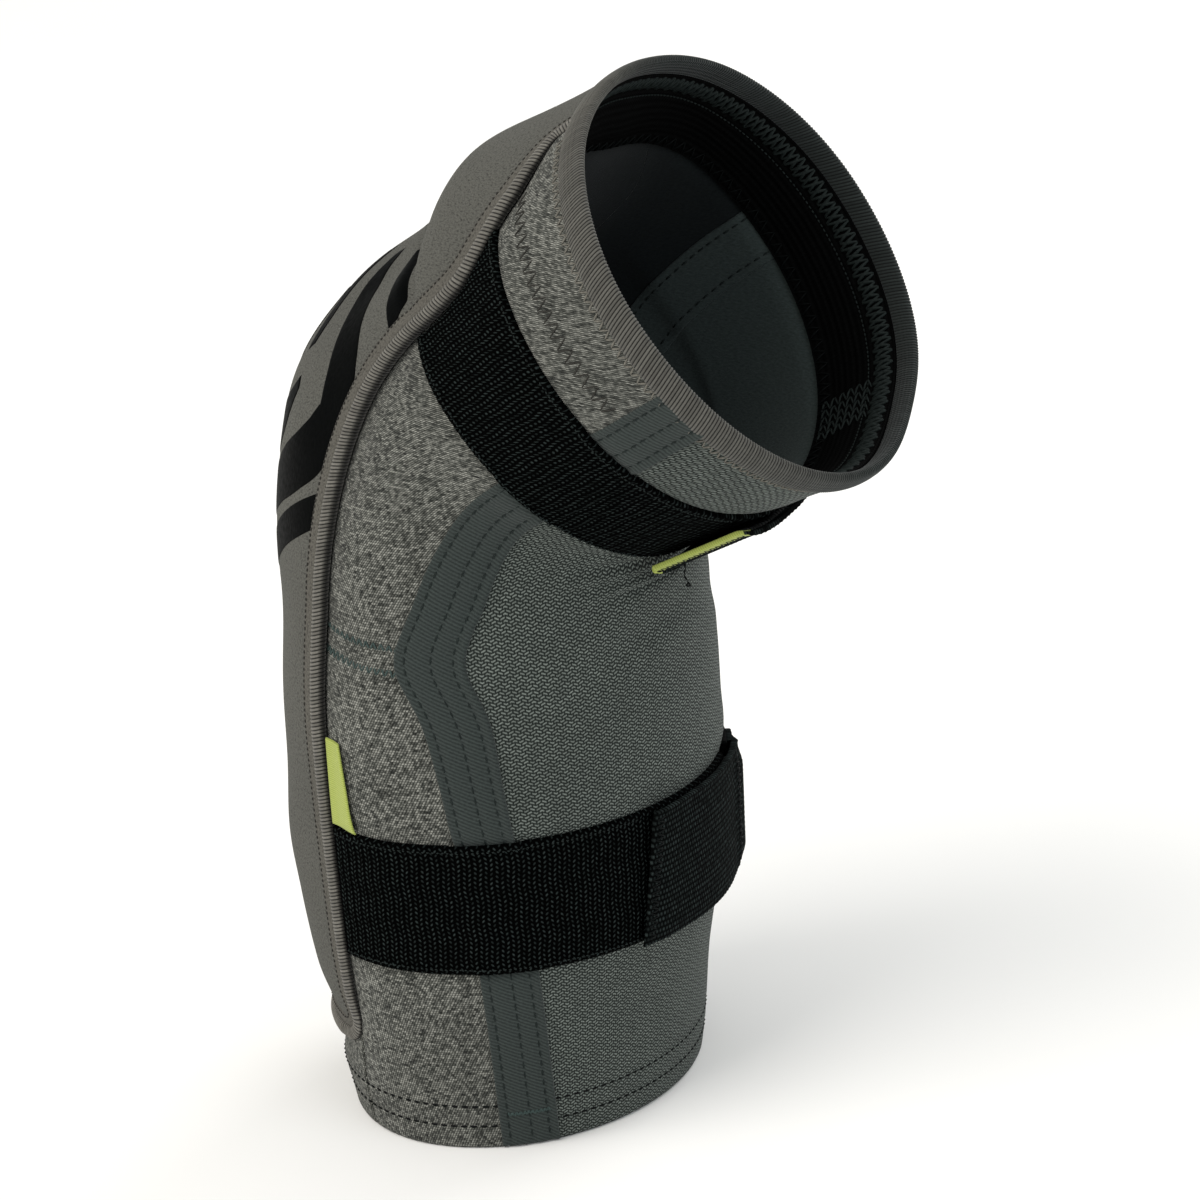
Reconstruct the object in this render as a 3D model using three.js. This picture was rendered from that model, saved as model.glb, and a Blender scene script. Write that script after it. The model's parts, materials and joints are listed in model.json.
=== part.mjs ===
// Elbow guard for mountain biking: a pre-curved knitted sleeve with a padded elbow,
// taped seams, an open crook panel and two hook-and-loop straps.
// It stands on its forearm hem, +Z up, bent towards +X. Millimetres and degrees.
//
// Every piece is a patch on the sleeve, placed by three numbers:
//   run    the distance along the centreline from the forearm hem,
//   angle  round the sleeve: 0 at the point of the elbow, 90 on the label side (-Y), 180 in the crook,
//   radius the distance from the centreline.
import * as THREE from "three";

// ---- Driving dimensions ----

// Centreline: straight forearm, one arc, straight upper arm.
const FOREARM_LENGTH = 123;
const UPPER_ARM_LENGTH = 50.6;
const BEND_RADIUS = 54.4;
const BEND_ANGLE = 56.8;

// Outside girth of the guard, pad included: how far it reaches from the centreline
// over the elbow side, in the crook and to either side.
const HEM = { elbow: 36.5, crook: 37.8, side: 46.6 };
const FOREARM = { elbow: 46.9, crook: 46.9, side: 52.1 };
const BELOW_ELBOW = { elbow: 47.2, crook: 47.2, side: 54.2 };
const ELBOW = { elbow: 48.5, crook: 43.7, side: 46.9 };
const UPPER_STRAP = { elbow: 48.2, crook: 48.2, side: 53.5 };
const CUFF = { elbow: 46.2, crook: 54.5, side: 55.6 };
const FOREARM_RUN = 50;
const BELOW_ELBOW_DROP = 28;
const UPPER_STRAP_DROP = 32;

// Fabrics, from the skin outwards.
const PANEL_THICKNESS = 1.4;
const TAPE_THICKNESS = 0.5;
const TAPE_WIDTH = 13;
const STRAP_THICKNESS = 1.2;
const STRAP_SLACK = 0.5;
const HOOK_THICKNESS = 0.6;
const TAB_THICKNESS = 1.2;
const LABEL_THICKNESS = 0.5;
const CLEARANCE = 0.3;

// Pad: foam under a cover, with a binding round its edge.
const PAD_BOTTOM = 22;
const PAD_DEPTH_AT_BOTTOM = 6.5;
const PAD_DEPTH_FOREARM = 9;
const PAD_DEPTH_ELBOW = 14;
const PAD_DEPTH_UPPER_ARM = 10;
const PAD_DEPTH_CUFF = 4.5;
const COVER_THICKNESS = 1.4;
const FADE_START = 0.4;
const FADE_PAST_EDGE = 22;
const BINDING_WIDTH = 5;
const BINDING_RISE = 1;
const FOAM_SHARE = 0.78;
const FOAM_GAP = 4;
const FOAM_SLACK = 0.7;
const CUP_LENGTH = 40;

// Straps: the loop strap is sewn down on the label side and the elastic strap on the plain side.
const LOWER_STRAP_START = 44;
const LOWER_STRAP_WIDTH = 30.5;
const UPPER_STRAP_START = 173.6;
const UPPER_STRAP_WIDTH = 27.5;
const LOOP_STRAP_END = 200;
const TAB_ROOT = 208;
const LOWER_TAB_TIP = 153;
const UPPER_TAB_TIP = 160;
const HOOK_INSET = 4;
const LIME_END_LENGTH = 6;

// Ends of the sleeve.
const HEM_DEPTH = 11;
const FACING_THICKNESS = 0.9;
const FACING_SLACK = 1.1;
const RIM_DEPTH = 5;
const RIM_OVERHANG = 1;
const GRIPPER_DEPTH = 20;

// Flag label, caught in the binding just above the lower strap.
const LABEL_RUN = 75;
const LABEL_LENGTH = 20;
const LABEL_WIDTH = 7.5;

// Where the sleeve stops being one with the forearm, and where it starts to be one with the upper arm.
const LOWER_SPLIT = 88;
const UPPER_SPLIT_BACK = 3.3;
const COVER_SPLIT_LEAD = 13;
const COVER_SPLIT_TRAIL = 3;

// Facets. Every piece shares one set of cross lines along the sleeve, so that stacked layers bend at the
// same places and keep their clearance.
const STEP_ALONG = 11;
const STEP_AROUND = 8.6;
const SHORTEST_STEP = 0.8;

// ---- Finishes ----

const finish = (color, roughness, metalness = 0) =>
  new THREE.MeshStandardMaterial({ color, roughness, metalness });

const FINISHES = {
  heather: finish("#77756d", 0.95),
  mesh: finish("#5b625c", 0.9),
  tape: finish("#3f4440", 0.9),
  lining: finish("#3b3d3c", 0.95),
  foam: finish("#2c2d2e", 0.9),
  cover: finish("#66655f", 0.85),
  binding: finish("#7c776d", 0.9),
  elastic: finish("#121314", 0.9),
  webbing: finish("#1c1f1d", 0.85),
  hooks: finish("#151515", 0.6),
  gripper: finish("#0e0e0f", 0.8),
  lime: finish("#c3d36c", 0.7),
};

// ---- The sleeve's shape ----

const { lerp, degToRad, radToDeg, clamp, smoothstep } = THREE.MathUtils;

const BEND_ARC = BEND_RADIUS * degToRad(BEND_ANGLE);
const BEND_END = FOREARM_LENGTH + BEND_ARC;
const LENGTH = BEND_END + UPPER_ARM_LENGTH;
const UPPER_SPLIT = BEND_END - UPPER_SPLIT_BACK;
const PANEL_END = LENGTH - RIM_DEPTH - CLEARANCE;

// A smooth curve through [run, value] points that never overshoots them.
function curve(points) {
  const slopes = points.slice(1).map(([x, y], i) => (y - points[i][1]) / (x - points[i][0]));
  const tangents = points.map((point, i) => {
    if (i === 0) return slopes[0];
    if (i === slopes.length) return slopes[i - 1];
    const [before, after] = [slopes[i - 1], slopes[i]];
    return before * after > 0 ? (2 * before * after) / (before + after) : 0;
  });
  return (run) => {
    const x = clamp(run, points[0][0], points.at(-1)[0]);
    const i = clamp(points.findIndex(([end]) => end >= x) - 1, 0, slopes.length - 1);
    const [[x0, y0], [x1, y1]] = [points[i], points[i + 1]];
    const h = x1 - x0;
    const t = (x - x0) / h;
    return (
      y0 +
      (y1 - y0) * t * t * (3 - 2 * t) +
      h * t * (1 - t) * (tangents[i] * (1 - t) - tangents[i + 1] * t)
    );
  };
}

const STATIONS = [
  [0, HEM],
  [FOREARM_RUN, FOREARM],
  [FOREARM_LENGTH - BELOW_ELBOW_DROP, BELOW_ELBOW],
  [FOREARM_LENGTH + BEND_ARC / 2, ELBOW],
  [LENGTH - UPPER_STRAP_DROP, UPPER_STRAP],
  [LENGTH, CUFF],
];
const reach = (direction) => curve(STATIONS.map(([run, girth]) => [run, girth[direction]]));
const REACH = { elbow: reach("elbow"), crook: reach("crook"), side: reach("side") };

// The section is half an ellipse over the elbow side and half an ellipse over the crook.
function outline(run, angle) {
  const c = Math.cos(degToRad(angle));
  const s = Math.sin(degToRad(angle));
  const depth = (c > 0 ? REACH.elbow : REACH.crook)(run);
  return 1 / Math.hypot(c / depth, s / REACH.side(run));
}

// Half the pad's width, in degrees: even along the forearm, narrowing over the upper arm.
const padEdge = curve([
  [0, 65.5],
  [FOREARM_LENGTH, 66.5],
  [FOREARM_LENGTH + BEND_ARC * 0.75, 59.5],
  [BEND_END + UPPER_ARM_LENGTH * 0.2, 56.5],
  [BEND_END + UPPER_ARM_LENGTH * 0.55, 43],
  [BEND_END + UPPER_ARM_LENGTH * 0.82, 30],
  [LENGTH, 29],
]);

const padDepth = curve([
  [HEM_DEPTH, 0],
  [PAD_BOTTOM + 2, PAD_DEPTH_AT_BOTTOM],
  [FOREARM_RUN, PAD_DEPTH_FOREARM],
  [FOREARM_LENGTH, PAD_DEPTH_ELBOW],
  [BEND_END, PAD_DEPTH_ELBOW],
  [LENGTH - UPPER_STRAP_DROP, PAD_DEPTH_UPPER_ARM],
  [LENGTH, PAD_DEPTH_CUFF],
]);

// The outer face of the knitted sleeve: the outline, drawn in where the pad lies on it.
function sleeve(run, angle) {
  const turn = Math.abs(THREE.MathUtils.euclideanModulo(angle + 180, 360) - 180);
  const edge = padEdge(run);
  const fade = 1 - smoothstep(turn, edge * FADE_START, edge + FADE_PAST_EDGE);
  return outline(run, angle) - padDepth(run) * fade;
}

const above = (surface, height) => (run, angle) => surface(run, angle) + height;

// The middle of the seam tape, which swings towards the elbow at the bend.
const tapeMiddle = curve([
  [0, 118],
  [FOREARM_RUN, 115],
  [FOREARM_LENGTH - BELOW_ELBOW_DROP, 109],
  [FOREARM_LENGTH - 6, 106],
  [FOREARM_LENGTH + BEND_ARC / 2, 110.5],
  [BEND_END, 112.5],
  [LENGTH, 113],
]);

// How many degrees a width takes at a place on the sleeve.
const degrees = (width, run, angle) => radToDeg(width / sleeve(run, angle));

// A place on the guard, from its run, angle and radius.
function place(run, angle, radius) {
  const bend = clamp((run - FOREARM_LENGTH) / BEND_RADIUS, 0, degToRad(BEND_ANGLE));
  const past = Math.max(run - BEND_END, 0);
  const toElbow = radius * Math.cos(degToRad(angle));
  const toLabelSide = radius * Math.sin(degToRad(angle));
  return new THREE.Vector3(
    BEND_RADIUS * (1 - Math.cos(bend)) + past * Math.sin(bend) - toElbow * Math.cos(bend),
    -toLabelSide,
    Math.min(run, FOREARM_LENGTH) +
      BEND_RADIUS * Math.sin(bend) +
      past * Math.cos(bend) +
      toElbow * Math.sin(bend),
  );
}

// ---- Building ----

const guard = new THREE.Group();
const assembly = new THREE.Group();
guard.add(assembly);

const at = (value, run) => (typeof value === "function" ? value(run) : value);

// The shared cross lines: even steps, the ends of the bands inside the sleeve, the foot of the pad
// and the start of the upper foam.
const BINDING_FOOT = PAD_BOTTOM - BINDING_WIDTH / 2;
const BINDING_HEAD = PAD_BOTTOM + BINDING_WIDTH / 2;
const UPPER_FOAM = BEND_END + FOAM_GAP;
const SHARED_LINES = [HEM_DEPTH, BINDING_FOOT, BINDING_HEAD, UPPER_FOAM, PANEL_END - GRIPPER_DEPTH];
for (let run = STEP_ALONG; run < LENGTH; run += STEP_ALONG) SHARED_LINES.push(run);
SHARED_LINES.sort((a, b) => a - b);

// The cross lines of a piece: its two ends and the shared lines between them.
const crossLines = (from, to) => [
  from,
  ...SHARED_LINES.filter((run) => run > from + SHORTEST_STEP && run < to - SHORTEST_STEP),
  to,
];

// Adds one closed patch: a box whose width runs round the sleeve from start to end, whose height runs
// along it, and whose thickness runs from the floor surface to the top surface.
function patch(name, material, { from, to, start, end, floor, top }) {
  const span = Math.abs(at(end, from) - at(start, from));
  const around = Math.ceil(span / STEP_AROUND);
  const lines = crossLines(from, to);
  const geometry = new THREE.BoxGeometry(1, 1, 1, around, lines.length - 1, 1);
  const corners = geometry.getAttribute("position");
  for (let i = 0; i < corners.count; i++) {
    const run = lines[Math.round((corners.getY(i) + 0.5) * (lines.length - 1))];
    const angle = lerp(at(start, run), at(end, run), corners.getX(i) + 0.5);
    const radius = lerp(floor(run, angle), top(run, angle), corners.getZ(i) + 0.5);
    corners.setXYZ(i, ...place(run, angle, radius).toArray());
  }
  geometry.computeVertexNormals();
  const mesh = new THREE.Mesh(geometry, material);
  mesh.name = name;
  assembly.add(mesh);
}

// Adds the same patch on the label side and, mirrored, on the plain side.
function pair(name, material, { start, end, ...rest }) {
  patch(`${name}_label_side`, material, { start, end, ...rest });
  patch(`${name}_plain_side`, material, {
    start: (run) => -at(end, run),
    end: (run) => -at(start, run),
    ...rest,
  });
}

// Adds a band all round the sleeve, whose two ends meet in the crook.
function band(name, material, rest) {
  const seam = (run) => 180 - degrees(CLEARANCE / 2, run, 180);
  patch(name, material, { start: (run) => -seam(run), end: seam, ...rest });
}

// The sleeve's lengthways divisions: each fabric is one piece on the guard, and its middle stretch bends.
const STRETCHES = [
  { part: "forearm", from: 0, to: LOWER_SPLIT },
  { part: "elbow", from: LOWER_SPLIT + CLEARANCE, to: UPPER_SPLIT },
  { part: "upper_arm", from: UPPER_SPLIT + CLEARANCE, to: PANEL_END },
];

const PANEL = { floor: above(sleeve, -PANEL_THICKNESS), top: sleeve };
const seamGap = (run, angle) => degrees(CLEARANCE / 2, run, angle);

function knittedSleeve() {
  for (const { part, from, to } of STRETCHES) {
    pair(`heather_${part}`, FINISHES.heather, {
      from,
      to,
      start: (run) => padEdge(run) + seamGap(run, 60),
      end: (run) => tapeMiddle(run) - seamGap(run, 110),
      ...PANEL,
    });
    patch(`crook_mesh_${part}`, FINISHES.mesh, {
      from,
      to,
      start: (run) => tapeMiddle(run) + seamGap(run, 110),
      end: (run) => 360 - tapeMiddle(run) - seamGap(run, 110),
      ...PANEL,
    });
    patch(`pad_lining_${part}`, FINISHES.lining, {
      from,
      to,
      start: (run) => -padEdge(run) + seamGap(run, 60),
      end: (run) => padEdge(run) - seamGap(run, 60),
      ...PANEL,
    });
    const halfTape = (run) => degrees(TAPE_WIDTH / 2, run, 110);
    pair(`seam_tape_${part}`, FINISHES.tape, {
      from,
      to,
      start: (run) => tapeMiddle(run) - halfTape(run),
      end: (run) => tapeMiddle(run) + halfTape(run),
      floor: above(sleeve, CLEARANCE),
      top: above(sleeve, CLEARANCE + TAPE_THICKNESS),
    });
  }
}

function sleeveEnds() {
  const facing = {
    floor: above(sleeve, -PANEL_THICKNESS - FACING_SLACK - FACING_THICKNESS),
    top: above(sleeve, -PANEL_THICKNESS - FACING_SLACK),
  };
  band("forearm_hem_facing", FINISHES.heather, { from: 0, to: HEM_DEPTH, ...facing });
  band("cuff_gripper_band", FINISHES.gripper, { from: PANEL_END - GRIPPER_DEPTH, to: PANEL_END, ...facing });
  band("cuff_rim_binding", FINISHES.binding, {
    from: PANEL_END + CLEARANCE,
    to: LENGTH,
    floor: above(sleeve, -PANEL_THICKNESS - RIM_OVERHANG),
    top: above(outline, RIM_OVERHANG),
  });
}

function pad() {
  const coverSplits = {
    forearm: { from: BINDING_HEAD + CLEARANCE, to: FOREARM_LENGTH - COVER_SPLIT_LEAD },
    elbow: { from: FOREARM_LENGTH - COVER_SPLIT_LEAD + CLEARANCE, to: BEND_END + COVER_SPLIT_TRAIL },
    upper_arm: { from: BEND_END + COVER_SPLIT_TRAIL + CLEARANCE, to: PANEL_END },
  };
  const bindingFloor = above(sleeve, 2 * CLEARANCE);
  const bindingTop = above(outline, BINDING_RISE);
  for (const [part, { from, to }] of Object.entries(coverSplits)) {
    patch(`pad_cover_${part}`, FINISHES.cover, {
      from,
      to,
      start: (run) => -padEdge(run) + 2 * seamGap(run, 60),
      end: (run) => padEdge(run) - 2 * seamGap(run, 60),
      floor: above(outline, -COVER_THICKNESS),
      top: outline,
    });
  }
  for (const { part, from, to } of STRETCHES) {
    pair(`pad_binding_${part}`, FINISHES.binding, {
      from: Math.max(from, BINDING_HEAD + CLEARANCE),
      to,
      start: (run) => padEdge(run) + seamGap(run, 60),
      end: (run) => padEdge(run) + degrees(BINDING_WIDTH, run, 60),
      floor: bindingFloor,
      top: bindingTop,
    });
  }
  patch("pad_binding_bottom", FINISHES.binding, {
    from: BINDING_FOOT,
    to: BINDING_HEAD,
    start: (run) => -padEdge(run) - degrees(BINDING_WIDTH, run, 60),
    end: (run) => padEdge(run) + degrees(BINDING_WIDTH, run, 60),
    floor: bindingFloor,
    top: bindingTop,
  });
  const foams = {
    pad_foam_forearm: { from: PAD_BOTTOM + FOAM_GAP, to: FOREARM_LENGTH - FOAM_GAP - CUP_LENGTH / 4 },
    elbow_cup_foam: { from: FOREARM_LENGTH - CUP_LENGTH / 4, to: FOREARM_LENGTH + CUP_LENGTH * 0.75 },
    pad_foam_upper_arm: { from: UPPER_FOAM, to: PANEL_END - 2 * FOAM_GAP },
  };
  for (const [name, { from, to }] of Object.entries(foams)) {
    patch(name, FINISHES.foam, {
      from,
      to,
      start: (run) => -padEdge(run) * FOAM_SHARE,
      end: (run) => padEdge(run) * FOAM_SHARE,
      floor: above(sleeve, FOAM_SLACK),
      top: above(outline, -COVER_THICKNESS - FOAM_SLACK),
    });
  }
}

// One strap: the loop strap, the elastic strap and the tab whose hooks hold the two together.
function strap(level, { start: from, width, tip }) {
  const to = from + width;
  const rise = CLEARANCE + TAPE_THICKNESS + STRAP_SLACK;
  const clearOfBinding = (run) => padEdge(run) + degrees(BINDING_WIDTH + CLEARANCE, run, 60);
  const flat = { floor: above(sleeve, rise), top: above(sleeve, rise + STRAP_THICKNESS) };
  patch(`${level}_loop_strap`, FINISHES.elastic, {
    from,
    to,
    start: clearOfBinding,
    end: LOOP_STRAP_END,
    ...flat,
  });
  patch(`${level}_elastic_strap`, FINISHES.elastic, {
    from,
    to,
    start: TAB_ROOT,
    end: (run) => 360 - clearOfBinding(run),
    ...flat,
  });
  const hookFloor = rise + STRAP_THICKNESS + CLEARANCE;
  const tabFloor = hookFloor + HOOK_THICKNESS + CLEARANCE;
  patch(`${level}_hook_patch`, FINISHES.hooks, {
    from: from + HOOK_INSET / 2,
    to: to - HOOK_INSET / 2,
    start: tip + HOOK_INSET,
    end: LOOP_STRAP_END,
    floor: above(sleeve, hookFloor),
    top: above(sleeve, hookFloor + HOOK_THICKNESS),
  });
  patch(`${level}_hook_tab`, FINISHES.webbing, {
    from,
    to,
    start: tip,
    end: TAB_ROOT,
    floor: above(sleeve, tabFloor),
    top: above(sleeve, tabFloor + TAB_THICKNESS),
  });
  return tabFloor + TAB_THICKNESS;
}

function straps() {
  strap("lower", { start: LOWER_STRAP_START, width: LOWER_STRAP_WIDTH, tip: LOWER_TAB_TIP });
  const tabTop = strap("upper", { start: UPPER_STRAP_START, width: UPPER_STRAP_WIDTH, tip: UPPER_TAB_TIP });
  patch("upper_tab_lime_end", FINISHES.lime, {
    from: UPPER_STRAP_START,
    to: UPPER_STRAP_START + UPPER_STRAP_WIDTH,
    start: UPPER_TAB_TIP,
    end: (run) => UPPER_TAB_TIP + degrees(LIME_END_LENGTH, run, UPPER_TAB_TIP),
    floor: above(sleeve, tabTop + CLEARANCE),
    top: above(sleeve, tabTop + CLEARANCE + LABEL_THICKNESS),
  });
}

function flagLabel() {
  const start = (run) => padEdge(run) + degrees(BINDING_WIDTH + CLEARANCE, run, 60);
  patch("flag_label", FINISHES.lime, {
    from: LABEL_RUN,
    to: LABEL_RUN + LABEL_LENGTH,
    start,
    end: (run) => start(run) + degrees(LABEL_WIDTH, run, 70),
    floor: above(sleeve, 2 * CLEARANCE),
    top: above(sleeve, 2 * CLEARANCE + LABEL_THICKNESS),
  });
}

knittedSleeve();
sleeveEnds();
pad();
straps();
flagLabel();

// The origin is the middle of the guard's box, at the level that it stands on.
const box = new THREE.Box3().setFromObject(assembly, true);
const middle = box.getCenter(new THREE.Vector3());
assembly.position.set(-middle.x, -middle.y, -box.min.z);

export default guard;
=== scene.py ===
"""An elbow guard for mountain biking: knitted sleeve, padded elbow, two hook-and-loop straps.

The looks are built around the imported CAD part, in metres, in its frame. Every piece is placed by a run
along the sleeve from the forearm hem, an angle round it (0 at the point of the elbow, 90 on the label
side, 180 in the crook) and a radius. Those three are in millimetres and degrees.
"""
import json
import logging
import math
from dataclasses import dataclass, field
from enum import Enum
from typing import Callable, Optional, Sequence, Union

import bpy
import numpy as np
from mathutils import Matrix, Vector


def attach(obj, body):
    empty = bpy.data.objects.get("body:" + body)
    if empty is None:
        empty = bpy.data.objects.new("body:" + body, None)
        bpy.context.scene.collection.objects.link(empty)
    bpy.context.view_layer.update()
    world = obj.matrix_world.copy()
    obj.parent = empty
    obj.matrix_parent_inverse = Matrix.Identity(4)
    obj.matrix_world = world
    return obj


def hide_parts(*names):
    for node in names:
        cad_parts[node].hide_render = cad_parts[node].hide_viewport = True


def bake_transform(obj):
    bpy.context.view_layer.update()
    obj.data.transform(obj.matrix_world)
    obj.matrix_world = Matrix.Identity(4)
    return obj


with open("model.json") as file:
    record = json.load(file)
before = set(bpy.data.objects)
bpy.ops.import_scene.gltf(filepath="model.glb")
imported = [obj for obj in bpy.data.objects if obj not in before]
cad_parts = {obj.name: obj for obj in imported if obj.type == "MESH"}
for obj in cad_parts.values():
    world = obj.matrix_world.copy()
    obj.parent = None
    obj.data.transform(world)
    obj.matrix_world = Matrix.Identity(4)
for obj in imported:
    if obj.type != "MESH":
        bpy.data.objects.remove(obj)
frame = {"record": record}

LOG = logging.getLogger("elbow_guard")
MM = 0.001
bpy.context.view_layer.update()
WEAVE = "weave"  # the UV map that holds millimetres on the cloth: across it, then along it
THIN_EDGE = 0.25  # what is left of a cloth's thickness at its rounded edge
UV_RADIUS = 48.0  # the sleeve's usual radius, which turns degrees into millimetres of cloth
PAD_EDGE_AT = 60.0  # the angle near which the pad's edge runs, where its widths are measured
TAPE_AT = 110.0  # the angle near which a seam tape runs

Array = np.ndarray
Surface = Callable[[Array, Array], Array]
Line = Callable[[Array], Array]
Row = tuple[Array, Array, Array]  # the starts, the ends and the normals of a row of stitches
Material = bpy.types.Material
Piece = bpy.types.Object
Socket = bpy.types.NodeSocket


# ---------------------------------------------------------------------------------------------
# Numbers and shapes
# ---------------------------------------------------------------------------------------------


def smooth(value: Array, low: Union[float, Array], high: Union[float, Array]) -> Array:
    """The smooth step from 0 at low to 1 at high: t * t * (3 - 2 t), with t clamped."""
    t = np.clip((value - low) / (high - low), 0.0, 1.0)
    return t * t * (3.0 - 2.0 * t)


def window(value: Array, low: float, high: float, soft: float) -> Array:
    """1 between low and high and 0 outside them, with edges that are soft millimetres wide."""
    return smooth(value, low - soft, low) * (1.0 - smooth(value, high, high + soft))


def bump(value: Array, middle: Union[float, Array], width: float) -> Array:
    """A bell of height 1 at the middle: exp(-(distance / width) squared)."""
    return np.exp(-(((value - middle) / width) ** 2))


@dataclass(frozen=True)
class Bell:
    """A soft rise, or a hollow where it is negative: its height, its middle and its width."""

    height: float
    middle: float
    width: float


def rises(bells: Sequence[Bell], value: Array) -> Array:
    """What several bells add up to at a value."""
    return sum(bell.height * bump(value, bell.middle, bell.width) for bell in bells)


def steady(angle: float) -> Line:
    """A line along the sleeve that stays at one angle."""
    return lambda run: np.full_like(run, angle)


def turn(angle: Array) -> Array:
    """How far round from the point of the elbow an angle is, either way: 0 to 180 degrees."""
    return np.abs(np.mod(angle + 180.0, 360.0) - 180.0)


def spread(start: float, end: float, step: float, edge: float = 1.2) -> Array:
    """Even lines about a step apart, with close ones near both ends where an edge is rounded.

    Args:
        start: the first line.
        end: the last line.
        step: the spacing in the middle.
        edge: how much at each end is drawn finely.

    Returns:
        The lines in order.
    """
    near = edge * np.array([0.0, 0.15, 0.4, 1.0])
    count = max(2, int(math.ceil((end - start - 2 * edge) / step)) + 1)
    middle = np.linspace(start + edge, end - edge, count)
    return np.concatenate([start + near[:-1], middle, end - near[-2::-1]])


class Curve:
    """A smooth curve through (run, value) points that never overshoots them.

    Each stretch is a cubic, whose slope at a point is the harmonic mean of the slopes either side.
    """

    def __init__(self, points: Sequence[Sequence[float]]) -> None:
        """Works out the slopes at the points.

        Args:
            points: the (run, value) pairs, in order of run.
        """
        self.x, self.y = np.array(points, float).T
        slopes = np.diff(self.y) / np.diff(self.x)
        before, after = slopes[:-1], slopes[1:]
        total = np.where(before + after == 0, 1.0, before + after)
        inner = np.where(before * after > 0, 2 * before * after / total, 0.0)
        self.slopes = np.concatenate([slopes[:1], inner, slopes[-1:]])

    def __call__(self, run: Union[float, Array]) -> Array:
        """The curve's value at each run."""
        x = np.clip(run, self.x[0], self.x[-1])
        i = np.clip(np.searchsorted(self.x, x) - 1, 0, len(self.x) - 2)
        h = self.x[i + 1] - self.x[i]
        t = (x - self.x[i]) / h
        rise = (self.y[i + 1] - self.y[i]) * t * t * (3 - 2 * t)
        return self.y[i] + rise + h * t * (1 - t) * (self.slopes[i] * (1 - t) - self.slopes[i + 1] * t)


@dataclass(frozen=True)
class Girth:
    """How far the guard reaches from its centreline, pad included, in millimetres."""

    elbow: float
    crook: float
    side: float


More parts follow.
